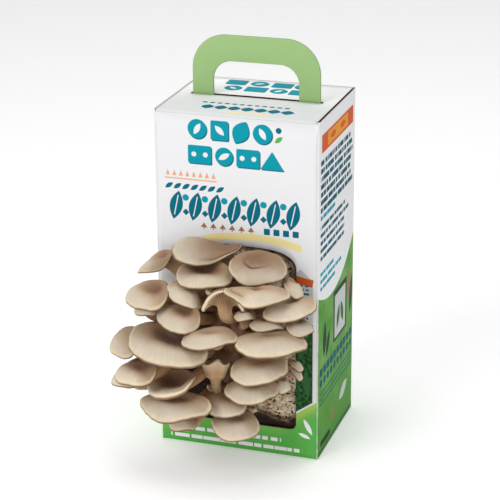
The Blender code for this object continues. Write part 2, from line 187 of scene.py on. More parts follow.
def ramp(value, stops):
    colour = addNode(value.tree, "ValToRGB", {0: value})
    elements = colour.socket.node.color_ramp.elements
    while len(elements) < len(stops):
        elements.new(0.5)
    for element, (place, stop) in zip(elements, stops):
        element.position = place
        element.color = stop
    return colour


def splitXYZ(vector):
    sockets = addNode(vector.tree, "SeparateXYZ", {0: vector}).socket.node.outputs
    return [Wire(socket) for socket in sockets]


def joinXY(x, y):
    return addNode(treeOf((x, y)), "CombineXYZ", {"X": x, "Y": y})


def noise(place, scale, detail, roughness=0.5):
    inputs = {"Vector": place, "Scale": scale, "Detail": detail, "Roughness": roughness}
    return addNode(place.tree, "TexNoise", inputs)


def objectPlace(tree):
    return addNode(tree, "TexCoord", output="Object")


def readAttribute(tree, name, output="Fac"):
    return addNode(tree, "Attribute", output=output, attribute_name=name)


def newMaterial(name, **shaderValues):
    material = bpy.data.materials.new(name)
    material.use_nodes = True
    shader = material.node_tree.nodes["Principled BSDF"]
    for socket, value in shaderValues.items():
        shader.inputs[socket.replace("_", " ")].default_value = value
    return material, material.node_tree, shader


def dress(shader, colour, height, strength, distance):  # its colour, and the bump that a height raises
    bump = {"Height": height, "Strength": strength, "Distance": distance}
    feed(shader.inputs["Base Color"], colour)
    feed(shader.inputs["Normal"], addNode(shader.id_data, "Bump", bump))


def newGroup(name, inputs, outputs, build):
    # inputs are titles with their usual values, outputs are titles with their kinds
    group = bpy.data.node_groups.new(name, "ShaderNodeTree")
    for title, usual in inputs.items():
        kind = "Vector" if isinstance(usual, tuple) else "Float"
        socket = group.interface.new_socket(title, in_out="INPUT", socket_type="NodeSocket" + kind)
        socket.default_value = usual
    for title, kind in outputs.items():
        group.interface.new_socket(title, in_out="OUTPUT", socket_type="NodeSocket" + kind)
    given = {socket.name: Wire(socket) for socket in group.nodes.new("NodeGroupInput").outputs}
    result = group.nodes.new("NodeGroupOutput").inputs
    for title, wire in build(given).items():
        feed(result[title], wire)
    return group


def useGroup(group, inputs):
    node = addNode(treeOf(inputs.values()), "Group", inputs, node_tree=group).socket.node
    return {socket.name: Wire(socket) for socket in node.outputs}


def buildMottle(given):
    blotches = (noise(given["Place"], 1.0 / given["Blotch size"], 3.0, 0.55) - 0.5) * given["Blotches"]
    specks = (noise(given["Place"], 1.0 / given["Speck size"], 2.0, 0.6) - 0.5) * given["Specks"]
    return {"Value": blotches + specks + 1.0}


# mottle: soft blotches and fine specks round 1, for multiplying into a colour
mottleGroup = newGroup(
    "mottle",
    {"Place": (0, 0, 0), "Blotch size": 0.008, "Speck size": 0.0012, "Blotches": 0.2, "Specks": 0.1},
    {"Value": "Float"},
    buildMottle,
)


def mottle(place, blotches, specks, blotchSize, speckSize=0.0012):
    inputs = {"Place": place, "Blotches": blotches, "Specks": specks, "Blotch size": blotchSize}
    return useGroup(mottleGroup, {**inputs, "Speck size": speckSize})["Value"]


cameraSet = {
    "azimuth": 18.2076,  # degrees right of straight on
    "elevation": 20.521,
    "roll": -0.4594,
    "distance": 1.22159,
    "target": (-0.00542, 0.0, 0.13128),
    "focalPixels": 1759.54,  # on a picture this many pixels wide
    "pictureWidth": 500,
    "sensor": 36,  # mm
}
lightSet = {
    # name, place, size, watts
    "lamps": [
        ("keyLight", (-0.75, -1.35, 1.25), 0.9, 13.2),
        ("fillLight", (1.4, -1.3, 0.7), 1.4, 4.5),
        ("topLight", (0.1, 0.1, 1.7), 1.2, 10),
    ],
    "aim": (0, -0.03, 0.12),
    "world": 0.42,
}
floorSet = {"half": 4.0, "back": 2.2, "bend": 1.2, "wall": 3.0}  # metres


def stand(name, data, place, back, roll=0.0):
    # an object at this place that looks the other way than back, upright but for its roll
    right = unit(np.cross([0, 0, 1], back))
    up = np.cross(back, right)
    matrix = np.eye(4)
    matrix[:3, 0] = right * math.cos(roll) + up * math.sin(roll)
    matrix[:3, 1] = up * math.cos(roll) - right * math.sin(roll)
    matrix[:3, 2] = back
    matrix[:3, 3] = place
    thing = bpy.data.objects.new(name, data)
    thing.matrix_world = Matrix(matrix.tolist())
    bpy.context.scene.collection.objects.link(thing)
    return thing


def placeCamera(c):
    data = bpy.data.cameras.new("camera")
    data.sensor_width = c["sensor"]
    data.lens = c["focalPixels"] / c["pictureWidth"] * c["sensor"]
    data.clip_end = 50
    back = wayOut(c["azimuth"], c["elevation"])
    place = np.array(c["target"]) + back * c["distance"]
    bpy.context.scene.camera = stand("camera", data, place, back, math.radians(c["roll"]))


def placeLights(c):
    for name, place, size, watts in c["lamps"]:
        data = bpy.data.lights.new(name, "AREA")
        data.energy, data.size = watts, size
        stand(name, data, place, unit(np.array(place) - np.array(c["aim"])))
    world = bpy.data.worlds.new("studio")
    bpy.context.scene.world = world
    world.use_nodes = True
    background = world.node_tree.nodes["Background"]
    background.inputs["Color"].default_value = (1, 1, 1, 1)
    background.inputs["Strength"].default_value = c["world"]
    bpy.context.scene.view_settings.view_transform = "Standard"


def makeFloor(f):
    # a flat sheet that bends up into a wall behind the object: a profile carried along X
    bend = np.linspace(0, math.pi / 2, 16)
    y = np.concatenate([[-f["half"]], f["back"] + f["bend"] * np.sin(bend), [f["back"] + f["bend"]]])
    z = np.concatenate([[0.0], f["bend"] * (1 - np.cos(bend)), [f["wall"]]])
    points = gridPoints(np.array([-f["half"], f["half"]])[None], y[:, None], z[:, None])
    floor = newPiece("floor", points, [gridFaces(0, len(y), 2, closed=False)[:, ::-1]])
    material, tree, shader = newMaterial("paleFloor", Roughness=0.7, Specular_IOR_Level=0.2,
                                         Emission_Strength=0.2, Emission_Color=(1, 1, 1, 1))
    shade = mottle(objectPlace(tree), 0.02, 0.01, 0.5, 0.02)
    feed(shader.inputs["Base Color"], tint((0.96, 0.96, 0.96, 1), shade))
    floor.data.materials.append(material)


placeCamera(cameraSet)
placeLights(lightSet)
makeFloor(floorSet)
print("camera, lights and floor placed")

# the carton, in mm, for its panels and for the print on them
cartonSet = {
    "half": (57.0, 45.0),
    "height": 241.0,
    "board": 0.8,
    "fold": 1.4,
    "bow": 0.35,  # how far the panels stand out in their middle
    "low": 0.3,  # lower edge of the walls
    "hem": 1.3,  # height of the front wall's lower fold
    "seat": 239.58,  # height of the seat that the lid's front fold takes
    "lidHalf": 55.3,
    "lidBack": 43.9,
    "tuck": (236, 226),  # the lid's tuck inside the back wall: from and to this height
    "slot": (46.5, 1.9),
    "seam": 14.0,  # of the bottom, behind the middle
    "seamGap": 0.3,
    "bottomLift": 0.05,
    "dustFlap": (19, 0.86, 0.7),  # how near the middle it comes, its height and its thickness
}
windowSet = {"half": 41.5, "sill": 20.8, "spring": 139.0, "rise": 12.5, "corner": 4.0}

# the print: every mark is placed in mm on its panel
inks = {
    "board": ink(234, 234, 236), "white": ink(244, 244, 244), "ash": ink(196, 200, 198),
    "teal": ink(20, 152, 170), "deepTeal": ink(18, 108, 128), "night": ink(0, 84, 102),
    "orange": ink(208, 92, 42), "amber": ink(226, 150, 50), "sun": ink(233, 170, 130),
    "pale": ink(243, 226, 160), "bark": ink(160, 112, 84), "lime": ink(172, 206, 96),
    "meadow": ink(128, 190, 92), "grass": ink(96, 180, 84), "fern": ink(114, 166, 84),
    "moss": ink(84, 146, 58), "forest": ink(58, 106, 58), "deepForest": ink(30, 62, 40),
}


def buildStamp(given):
    # masks from how far a place is past the edge of a box with round corners, of a leaf and of a wedge
    moved = vectorCalc("SUBTRACT", given["Plane"], given["Centre"])
    turnBack = {"Vector": moved, "Angle": given["Turn"] * -1.0}
    turned = addNode(moved.tree, "VectorRotate", turnBack, rotation_type="Z_AXIS")
    size = vectorCalc("ABSOLUTE", turned)
    x, y, _ = splitXYZ(turned)
    sizeX, sizeY, _ = splitXYZ(size)
    halfX, halfY, _ = splitXYZ(given["Half"])
    radius = given["Radius"]
    past = vectorCalc("ADD", vectorCalc("SUBTRACT", size, given["Half"]), joinXY(radius, radius))
    outside = vectorCalc("LENGTH", vectorCalc("MAXIMUM", past))
    pastX, pastY, _ = splitXYZ(past)
    boxGap = outside + calc("MINIMUM", calc("MAXIMUM", pastX, pastY)) - radius
    along = x / halfX
    leafGap = abs(y) - halfY * (1.0 - along * along)
    flank = sizeX - halfX * (0.5 - y / (halfY * 2.0))
    wedgeGap = calc("MAXIMUM", flank, sizeY - halfY)
    soft = given["Soft"]
    return {name: remap(gap, soft, soft * -1.0)
            for name, gap in (("Box", boxGap), ("Leaf", leafGap), ("Wedge", wedgeGap))}


def buildRow(given):
    x, y, _ = splitXYZ(given["Plane"])
    along = (x - given["Start"]) / given["Step"]
    index = calc("FLOOR", along)
    local = (calc("FRACT", along) - 0.5) * given["Step"]
    inUse = calc("GREATER_THAN", index, -0.5) * calc("LESS_THAN", index, given["Count"] - 0.5)
    chance = addNode(x.tree, "TexWhiteNoise", {"W": index + given["Start"]}, noise_dimensions="1D")
    return {"Plane": joinXY(local, y), "Index": index, "Inside": inUse, "Chance": chance}


stampGroup = newGroup(
    "stamp",
    {"Plane": (0, 0, 0), "Centre": (0, 0, 0), "Half": (1, 1, 0), "Radius": 0.0, "Turn": 0.0, "Soft": 0.1},
    {"Box": "Float", "Leaf": "Float", "Wedge": "Float"},
    buildStamp,
)
# rowOf repeats a place along X: the place in its own cell, the cell's number, a mask of the cells in use,
# and a random number for each cell
rowGroup = newGroup(
    "rowOf",
    {"Plane": (0, 0, 0), "Start": 0.0, "Step": 10.0, "Count": 5.0},
    {"Plane": "Vector", "Index": "Float", "Inside": "Float", "Chance": "Float"},
    buildRow,
)


def stamp(plane, shape, centre, half, radius=0.0, turn=0.0):
    place = {"Plane": plane, "Centre": (*centre, 0), "Half": (*half, 0)}
    return useGroup(stampGroup, {**place, "Radius": radius, "Turn": math.radians(turn), "Soft": 0.12})[shape]


def rowOf(plane, start, step, count):
    return useGroup(rowGroup, {"Plane": plane, "Start": start, "Step": step, "Count": count})


def rowMarks(plane, start, step, count, stamps):  # the same stamps in every cell of a row
    cells = rowOf(plane, start, step, count)
    return [(name, stamp(cells["Plane"], *values) * cells["Inside"]) for name, *values in stamps]


def paint(plane, colour, marks):
    # marks go one over another: each has an ink's name, and either a mask or the values of one stamp
    for name, *mark in marks:
        mask = mark[0] if isinstance(mark[0], Wire) else stamp(plane, *mark)
        colour = blend(mask, colour, inks[name])
    return colour


def shadedTiles(tiles, right, down):  # each tile in teal over a darker one, which is moved this far
    marks = []
    for shape, (x, y), *rest in tiles:
        marks += [("deepTeal", shape, (x + right, y - down), *rest), ("teal", shape, (x, y), *rest)]
    return marks


def panelPlane(tree, across, up):
    # Object coordinates of this panel in mm, laid out as X and Y
    place = addNode(tree, "VectorMath", {0: objectPlace(tree), "Scale": 1000.0}, operation="SCALE")
    xyz = splitXYZ(place)
    return joinXY(xyz[across], xyz[up]), xyz[across], xyz[up]


def ruledLines(plane, start, step, count, left, full, thick, shortest=0.55):
    # lines of differing lengths, each broken into short dashes
    x, y, _ = splitXYZ(plane)
    cells = rowOf(joinXY(y, x), start, step, count)
    offLine, along, _ = splitXYZ(cells["Plane"])
    level = remap(abs(offLine), thick + 0.12, thick - 0.12)
    reach = remap(cells["Chance"], 0.0, 1.0, left + full * shortest, left + full)
    ending = calc("GREATER_THAN", along, left) * calc("LESS_THAN", along, reach)
    shifted = {"W": along * 0.32 + cells["Index"] * 7.3, "Scale": 1.0, "Detail": 1.0}
    dashes = remap(addNode(x.tree, "TexNoise", shifted, noise_dimensions="1D"), 0.37, 0.40)
    return level * ending * (dashes * cells["Inside"])


def below(height, level, soft=0.15):  # 1 where height is under level
    return remap(height - level, soft, -soft)


def hills(z, across, middle, height, frequency, fade):
    # a field of green up to a wave, darker below it
    edge = calc("SINE", across * frequency) * height + middle
    return [("meadow", below(z, edge)), ("grass", below(z, edge - fade, fade - 1.0))]


def frontPrint(tree):
    plane, x, z = panelPlane(tree, 0, 2)
    marks = shadedTiles([
        ("Box", (-26.5, 230), (6.6, 6.6), 6.6, 0), ("Box", (-11, 230), (6.2, 6.6), 1.2, 0),
        ("Leaf", (3.5, 230), (8.4, 5.6), 0, 62), ("Box", (18.5, 230), (6.6, 6.6), 6.6, 0),
        ("Box", (-25, 212.5), (8.2, 6.2), 1.2, 0), ("Box", (-8, 212.5), (6.2, 6.2), 6.2, 0),
        ("Box", (8.5, 212.5), (8, 6.2), 1.2, 0), ("Wedge", (25, 212.5), (8, 6.2), 0, 0),
    ], 0.7, 0.8)
    for place, turn in (((-26.5, 230), 60), ((-11, 230), -45), ((18.5, 230), 120), ((-8, 212.5), 30)):
        marks.append(("board", "Leaf", place, (4.4, 1.9), 0, turn))
    for dot in (-29, -21, 4.5, 12.5):
        marks.append(("board", "Box", (dot, 212.5), (1.7, 1.7), 1.7))
    marks.append(("deepTeal", "Box", (29.5, 233.2), (2.0, 2.0), 2.0))
    marks.append(("grass", "Leaf", (29.5, 227), (3.4, 1.6), 0, 40))
    marks += rowMarks(plane, -50.0, 4.6, 8.0, [("sun", "Wedge", (0, 198.5), (1.5, 2.0))])
    marks.append(("sun", "Box", (-31.6, 194.6), (18.4, 0.45), 0.45))
    marks += rowMarks(plane, -50.0, 6.0, 7.0, [("deepTeal", "Leaf", (0, 189.3), (3.4, 1.5), 0, 35)])
    marks += rowMarks(plane, -49.0, 13.6, 7.0, [
        ("deepTeal", "Leaf", (0, 175.8), (10.4, 4.6), 0, 78),
        ("board", "Box", (0, 175.8), (7.2, 0.35), 0.3, 78)])
    marks += rowMarks(plane, -42.2, 13.6, 6.0, [
        ("teal", "Box", (0, 181.6), (2.3, 2.3), 2.3), ("deepTeal", "Box", (0, 171.4), (1.7, 1.7), 0.2, 45)])
    marks += rowMarks(plane, -26.0, 6.6, 6.0, [
        ("bark", "Wedge", (0, 163.6), (2.3, 1.7)), ("bark", "Box", (0, 161.7), (0.35, 1.1), 0.2)])
    marks += rowMarks(plane, 18.0, 6.6, 4.0, [("deepTeal", "Box", (0, 163.1), (2.1, 2.2), 0.5)])
    # the pale band follows the arch of the window
    aside = x - 10.5
    band = remap(abs(z - (158.2 - aside * aside * 0.004)), 2.8, 2.4)
    marks.append(("pale", band * (remap(x, -25.0, -23.0) * remap(x, 45.5, 45.0))))
    # a column of plain blocks beside the window, the lowest one with foliage
    marks += [
        ("ash", "Box", (47.2, 112), (5.9, 21), 0.5), ("ash", "Wedge", (44.6, 135.8), (7.6, 3.4)),
        ("orange", "Box", (47.2, 130.6), (6.0, 2.7), 0.4, -10),
        ("deepForest", "Box", (47.2, 62), (5.9, 38), 0.3),
    ]
    foliage = noise(plane, 0.42, 3.0)
    beside = stamp(plane, "Box", (47.2, 62), (5.9, 38), 0.3)
    for name, low, most in (("forest", 0.4, 0.75), ("grass", 0.58, 0.4)):
        marks.append((name, beside * remap(foliage, low, low + 0.15, 0.0, most)))
    marks += [
        ("forest", "Leaf", (45.6, 84), (11, 2.6), 0, 84), ("forest", "Leaf", (49, 56), (10, 2.4), 0, 96),
        ("deepTeal", ruledLines(plane, 103.0, 2.9, 9.0, 42.6, 9.0, 0.7, 0.8)),
    ]
    # the green field: low on the left, above the sill below the window, and rising to the right fold
    rising, falling = remap(x, 30.0, 57.0) * 18.9, remap(x, -30.0, -57.0) * -7.0
    edge = 25.0 + (rising + falling)
    near = below(z, edge) * below(edge - 5.0, z, 3.0)
    marks += [
        ("board", below(z, edge + 1.5)), ("meadow", below(z, edge)),
        ("lime", near * remap(x, 34.0, 46.0)), ("grass", below(z, edge - 8.0, 5.0)),
        ("white", ruledLines(plane, 1.8, 6.4, 2.0, -50.0, 98.0, 1.35, 0.8)),
        ("white", "Leaf", (50, 24), (6.5, 1.7), 0, -62), ("white", "Leaf", (47.5, 17), (4.6, 1.4), 0, -20),
    ]
    return paint(plane, inks["board"], marks)


def rightPrint(tree):
    plane, y, z = panelPlane(tree, 1, 2)
    edge = abs(y + 14.0) ** 2.0 * 0.0078 + 111.5  # of the green field, which hangs lowest left of the middle
    field = blend(remap(noise(plane, 0.05, 3.0), 0.4, 0.62), inks["moss"], inks["fern"])
    field = blend(remap(z, 75.0, 5.0), field, inks["moss"])
    colour = blend(remap(z - edge, -0.15, 0.15), field, inks["board"])
    marks = [
        ("orange", "Box", (0, 224.5), (39, 6.2), 1.5), ("amber", "Box", (0, 224.5), (25, 4.6), 1.0),
        ("orange", "Leaf", (-12, 224.5), (7, 2.2), 0, 0), ("orange", "Leaf", (12, 224.5), (7, 2.2), 0, 0),
        ("night", ruledLines(plane, 176.6, 5.4, 7.0, -41.0, 82.0, 1.7, 0.78)),
        ("teal", ruledLines(plane, 171.5, 5.0, 1.0, -41.0, 44.0, 1.5)),
        ("night", ruledLines(plane, 143.0, 5.4, 5.0, -41.0, 78.0, 1.35, 0.7)),
        ("teal", ruledLines(plane, 121.5, 5.2, 3.0, -41.0, 52.0, 1.3, 0.6)),
        ("deepForest", "Box", (9, 91), (17, 19), 1.0), ("ash", "Box", (9, 90), (14, 16), 1.0),
        ("forest", "Leaf", (4, 88), (9, 3.4), 0, 70), ("forest", "Leaf", (14, 88), (9, 3.4), 0, 110),
        ("deepForest", "Leaf", (-30, 84), (13, 4), 0, 85),
        ("deepForest", "Leaf", (-22, 78), (10, 3.4), 0, 65),
        ("bark", "Leaf", (33, 100), (14, 3.4), 0, 95), ("deepForest", "Leaf", (38, 92), (15, 3.6), 0, 80),
    ]
    marks += rowMarks(plane, -42.0, 8.4, 10.0, [
        ("night", "Box", (0, 62.5), (3.4, 2.9), 0.9), ("night", "Box", (0, 54.5), (2.9, 2.9), 2.9)])
    marks += [("night", "Box", (0, level), (41, 0.5), 0.4) for level in (38.5, 42.5, 46.5)]
    marks += [
        ("ash", "Leaf", (20, 25), (11, 4.6), 0, 20), ("bark", "Leaf", (-6, 18), (6, 3), 0, 60),
        ("deepForest", "Box", (-26, 8), (12, 2.2), 1), ("forest", "Box", (0, 3), (45, 1.2), 1),
    ]
    return paint(plane, colour, marks)


def topPrint(tree):
    plane, _, y = panelPlane(tree, 0, 1)
    marks = shadedTiles([
        ("Box", (-25, 34), (7, 6), 1), ("Box", (-8.5, 34), (6.2, 6.2), 6.2),
        ("Box", (8, 34), (7, 6), 1), ("Box", (22, 34), (5, 6), 5),
        ("Box", (-23, 19), (6, 6), 6), ("Box", (-6.5, 19), (7.5, 6), 1),
        ("Box", (9.5, 19), (6, 6), 6), ("Box", (22.5, 19), (5, 6), 1),
    ], 0.7, 0.7)
    for place, turn in (((-8.5, 34), 40), ((-23, 19), -40), ((9.5, 19), 60)):
        marks.append(("board", "Leaf", place, (3.8, 1.6), 0, turn))
    marks += rowMarks(plane, -32.0, 5.2, 12.0, [("deepTeal", "Leaf", (0, -20.0), (2.2, 1.4))])
    marks += rowMarks(plane, -29.0, 9.2, 7.0, [
        ("deepTeal", "Leaf", (0, -29.5), (4.6, 4.2), 0, 90),
        ("deepTeal", "Box", (4.6, -29.5), (1.0, 1.0), 1.0)])
    marks.append(("pale", "Box", (2, -38), (16, 1.2), 1))
    # painted shade: the lid is darker over its front half and lighter behind the handle
    base = blend(remap(y, -25.0, 25.0, kind="SMOOTHSTEP"), ink(220, 221, 221), ink(250, 250, 249))
    return paint(plane, base, marks)


def backPrint(tree):
    plane, x, z = panelPlane(tree, 0, 2)
    marks = hills(z, x, 52.0, 5.0, 0.07, 7.0)
    marks += rowMarks(plane, -42.0, 14.0, 6.0, [
        ("teal", "Box", (0, 220), (5.6, 5.6), 5.6), ("board", "Leaf", (0, 220), (4.0, 1.8), 0, 45)])
    marks += [
        ("orange", "Box", (0, 201), (41, 1.0), 1.0),
        ("deepTeal", ruledLines(plane, 150.0, 6.0, 7.0, -42.0, 84.0, 1.3, 0.6)),
        ("pale", "Box", (0, 108), (42, 24), 3.0),
    ]
    marks += rowMarks(plane, -40.0, 27.0, 3.0, [
        ("board", "Box", (0, 108), (11, 19), 2.0), ("forest", "Leaf", (-3, 106), (12, 4), 0, 75),
        ("grass", "Leaf", (3, 106), (10, 3.6), 0, 105)])
    marks.append(("white", ruledLines(plane, 8.0, 6.5, 4.0, -46.0, 90.0, 1.2, 0.6)))
    return paint(plane, inks["board"], marks)


def leftPrint(tree):
    plane, y, z = panelPlane(tree, 1, 2)
    marks = hills(z, y, 96.0, 6.0, 0.08, 10.0) + [
        ("orange", "Box", (0, 224.5), (36, 5.6), 5.6), ("amber", "Box", (0, 224.5), (30, 3.8), 3.8),
        ("deepTeal", ruledLines(plane, 132.0, 6.0, 12.0, -38.0, 76.0, 1.3, 0.5)),
        ("pale", "Box", (0, 66), (20, 20), 20), ("forest", "Leaf", (-5, 64), (16, 6), 0, 75),
        ("deepForest", "Leaf", (7, 62), (13, 5), 0, 110),
        ("white", ruledLines(plane, 8.0, 6.5, 3.0, -38.0, 74.0, 1.2, 0.6)),
    ]
    return paint(plane, inks["board"], marks)


def finishBoard(name, draw, rubbedFolds=True):
    # coated board: the print, a slight unevenness of the ink, and folds rubbed pale
    roughness = 0.34
    material, tree, shader = newMaterial(name, Roughness=roughness, Specular_IOR_Level=0.01)
    place = objectPlace(tree)
    colour = tint(draw(tree), mottle(place, 0.05, 0.03, 0.06, 0.0015))
    if rubbedFolds:
        x, y, _ = splitXYZ(place)
        halfX, halfY = cartonSet["half"]
        fold = remap(calc("MAXIMUM", halfX * mm - abs(x), halfY * mm - abs(y)), 0.0011, 0.0004)
        wear = fold * remap(noise(place, 260.0, 3.0), 0.35, 0.65, 0.25, 0.75)
        colour = blend(wear, colour, inks["white"])
    fibres = noise(place, 900.0, 2.0)
    dress(shader, colour, noise(place, 22.0, 2.0) + fibres * 0.03, 0.5, 0.0006)
    feed(shader.inputs["Roughness"], remap(fibres, 0.3, 0.7, roughness - 0.05, roughness + 0.07))
    return material


def plainFinish(name, colour, roughness, blotches=0.12, specks=0.15, blotchSize=0.006, **more):
    # one colour with soft blotches and specks, which also raise it a little
    material, tree, shader = newMaterial(name, Roughness=roughness, **more)
    shade = mottle(objectPlace(tree), blotches, specks, blotchSize)
    dress(shader, tint(colour, shade), shade, 0.4, 0.0005)
    return material


def handleFinish():
    # green board, darker where its edges are rounded
    material, tree, shader = newMaterial("handleBoard", Roughness=0.42, Specular_IOR_Level=0.35)
    place = objectPlace(tree)
    edgeDarkening = remap(readAttribute(tree, "edge"), 0.55, 1.0, 0.0, 0.8)
    colour = blend(edgeDarkening, ink(158, 193, 127), ink(120, 148, 100))
    colour = tint(colour, mottle(place, 0.08, 0.05, 0.03, 0.001))
    dress(shader, colour, noise(place, 700.0, 2.0), 0.15, 0.0003)
    return material


def filmFinish():
    # dark glossy film, paler and rougher along the lip of its mouth: a painted highlight
    material, tree, shader = newMaterial("bagFilm", Roughness=0.28, Specular_IOR_Level=0.1)
    place = objectPlace(tree)
    # painted highlight along the rolled lip
    lipHighlight = readAttribute(tree, "lip") * remap(noise(place, 190.0, 4.0, 0.65), 0.38, 0.62)
    dress(shader, blend(lipHighlight, ink(38, 22, 20), ink(156, 128, 102)), noise(place, 90.0, 3.0), 0.5, 0.002)
    feed(shader.inputs["Roughness"], remap(lipHighlight, 0.0, 1.0, 0.3, 0.7))
    return material


def sawdustFinish():
    # pale growth over brown sawdust, with chips, dark flecks and darker cracks, and painted shade where the
    # block lies deep in shade
    material, tree, shader = newMaterial("sawdustMass", Roughness=0.85, Specular_IOR_Level=0.2)
    place = objectPlace(tree)
    grown = noise(place, 120.0, 4.0, 0.6)
    colour = ramp(grown, [(0.32, ink(172, 138, 108)), (0.45, ink(216, 192, 160)),
                          (0.6, ink(240, 226, 202)), (0.75, ink(248, 240, 224))])
    colour = tint(colour, remap(readAttribute(tree, "grain"), 0.3, 0.9, 0.78, 1.1))
    flecks, chips = noise(place, 800.0, 2.0), noise(place, 330.0, 3.0, 0.7)
    colour = blend(remap(chips, 0.54, 0.68, 0.0, 0.6), colour, ink(132, 98, 72))
    colour = blend(remap(flecks, 0.6, 0.68), colour, ink(88, 58, 42))
    # darker in the cracks, and painted shade where the block lies deep in shade
    colour = blend(remap(readAttribute(tree, "cracksAndShade"), 0.15, 0.7), colour, ink(48, 32, 26))
    dress(shader, colour, flecks, 0.5, 0.0005)
    return material


def fleshFinish():
    # colours follow the path from funnel to stem's foot: cap, thin dark rim, gills, stem; much of the
    # darkening along it is painted shade
    material, tree, shader = newMaterial(
        "mushroomFlesh", Roughness=0.55, Subsurface_Weight=0.07, Subsurface_Scale=0.003,
        Subsurface_Radius=(1.0, 0.55, 0.3), Specular_IOR_Level=0.35, Sheen_Weight=0.08, Sheen_Roughness=0.5)
    path, blades, tone, facing, hollow = (
        readAttribute(tree, name) for name in ("path", "blades", "tone", "facing", "hollow"))
    fibre = vectorCalc("MULTIPLY", readAttribute(tree, "fibre", "Vector"), (9.0, 9.0, 1.2))
    streaks = noise(fibre, 2.2, 4.0, 0.6)
    # browner towards the back of the cap: partly its own colour, partly painted shade
    cap = ramp(facing, [(0.0, ink(168, 141, 112)), (0.3, ink(192, 168, 140)),
                        (0.6, ink(208, 192, 170)), (0.95, ink(219, 206, 185))])
    # the funnel: its brown stain, and painted shade in its hollow
    stainAndShade = ramp(hollow, [(0.35, ink(152, 108, 74)), (1.0, ink(84, 54, 36))])
    cap = blend(remap(hollow, 0.0, 0.75, 0.0, 0.88), cap, stainAndShade)
    # the margin: pale cream in front, partly its own colour and partly a painted highlight, and dark brown
    # behind, painted shade
    margin = blend(remap(facing, 0.1, -0.25), ink(227, 209, 174), ink(140, 112, 90))
    cap = blend(remap(path, 0.87, 0.965, 0.0, 0.75, kind="SMOOTHSTEP"), cap, margin)
    # under the rim: dark brown, painted shade
    rim = ramp(remap(path, 1.0, 1.1), [(0.0, ink(124, 92, 62)), (0.1, ink(88, 62, 43)),
                                       (0.5, ink(64, 44, 32))])
    gillEdge = blend(remap(path, 1.1, 1.75), ink(230, 206, 170), ink(196, 156, 116))
    # dark between the gills: painted shade
    gills = blend(remap(blades, 0.0, 0.9), ink(108, 78, 56), gillEdge)
    # darker towards the foot: partly the stem's own colour, partly painted shade deep in the cluster
    stem = ramp(remap(path, 2.2, 3.3), [(0.0, ink(212, 178, 136)), (0.3, ink(200, 160, 116)),
                                        (0.6, ink(172, 130, 90)), (1.0, ink(126, 88, 60))])
    stem = tint(stem, remap(streaks, 0.25, 0.75, 0.72, 1.12))
    cap = tint(cap, remap(streaks, 0.25, 0.75, 0.93, 1.05))
    colour = blend(remap(path, 0.968, 0.996), cap, rim)
    colour = blend(remap(path, 1.1, 1.18), colour, gills)
    colour = blend(remap(path, 2.15, 2.45), colour, stem)
    shade = mottle(objectPlace(tree), 0.28, 0.12, 0.009, 0.0011)
    dress(shader, tint(colour, shade + tone), streaks * 0.6 + shade, 0.35, 0.0006)
    feed(shader.inputs["Roughness"], remap(shade, 0.8, 1.2, 0.62, 0.46))
    return material


prints = {"front": frontPrint, "right": rightPrint, "back": backPrint, "left": leftPrint, "top": topPrint}
panelMaterial = {side: finishBoard(side + "Print", draw, side != "top") for side, draw in prints.items()}
boardPlain = finishBoard("boardPlain", lambda tree: inks["grass"], rubbedFolds=False)
boardCore = plainFinish("boardCore", ink(132, 120, 106), 0.8)
# cut edges: painted shade on the lid, the right wall and the handle flap's bend below the slot, painted light
# on the left and back wall
paintedShadeEdge = plainFinish("paintedShadeEdge", ink(64, 30, 22), 0.9)
paintedLightEdge = plainFinish("paintedLightEdge", ink(214, 212, 208), 0.7)
handleBoard = handleFinish()
bagFilm = filmFinish()
sawdustMass = sawdustFinish()
# the foot's flesh: partly its own brown, partly painted shade deep in the cluster
footFlesh = plainFinish("footFlesh", ink(138, 100, 74), 0.65, 0.5, 0.3, 0.007,
                        Subsurface_Weight=0.08, Subsurface_Scale=0.002)
flesh = fleshFinish()
print("finishes mixed")


@dataclass
class Mushroom:
    number: int
    at: tuple  # the funnel, where the cap dips over its stem, in mm
    yaw: float  # heading of the free margin: 0 is -Y, positive towards +X, in degrees
    pitch: float  # fall towards the free margin
    roll: float  # lift of the right side, as seen from the free margin
    reach: float  # funnel to free margin
    left: float  # middle line to the side margins
    right: float
    back: float  # funnel to the margin behind the stem
    rise: float = 3.0  # height of the shoulder above the funnel
    droop: float = 7.0  # fall of the margin below the shoulder
    ripple: tuple = (3, 1.0, 0)  # waves round the margin: count, height, phase
    stem: float = 4.2  # stem radius under the cap
    root: tuple = None  # where the stem leaves the foot: turn from -Y towards +X, and height angle
    bumps: tuple = ()  # each (turn, out, up, width): the margin moves out and up round that turn
    taper: float = 0.0  # narrower in front above 0, narrower behind below 0
    curl: float = 0.3  # how far the margin rolls down, over the cap's thickness
    dip: float = 2.0  # depth of the funnel below the point over the stem
    stainAndShade: float = 0.2  # how dark the funnel is, 0 to 1: its brown stain, and painted shade in its hollow
    bowl: float = 0.3  # share of the way to the margin that the funnel takes
    fold: tuple = None  # (turn, width, depth, share): a crease along the margin, this share of the way to it
    gills: float = 1.0  # depth of the gills, over the usual
    edge: float = 1.0  # roundness of the margin, over the usual
    deep: float = 0.0  # added to the thickness over the stem, which makes a cone of the underside
    tone: float = 0.0  # darker below 0, lighter above; for caps 8 and 22 it is painted light on parts that lie in shade
    stemTone: float = 0.0  # the same, for the neck and stem only


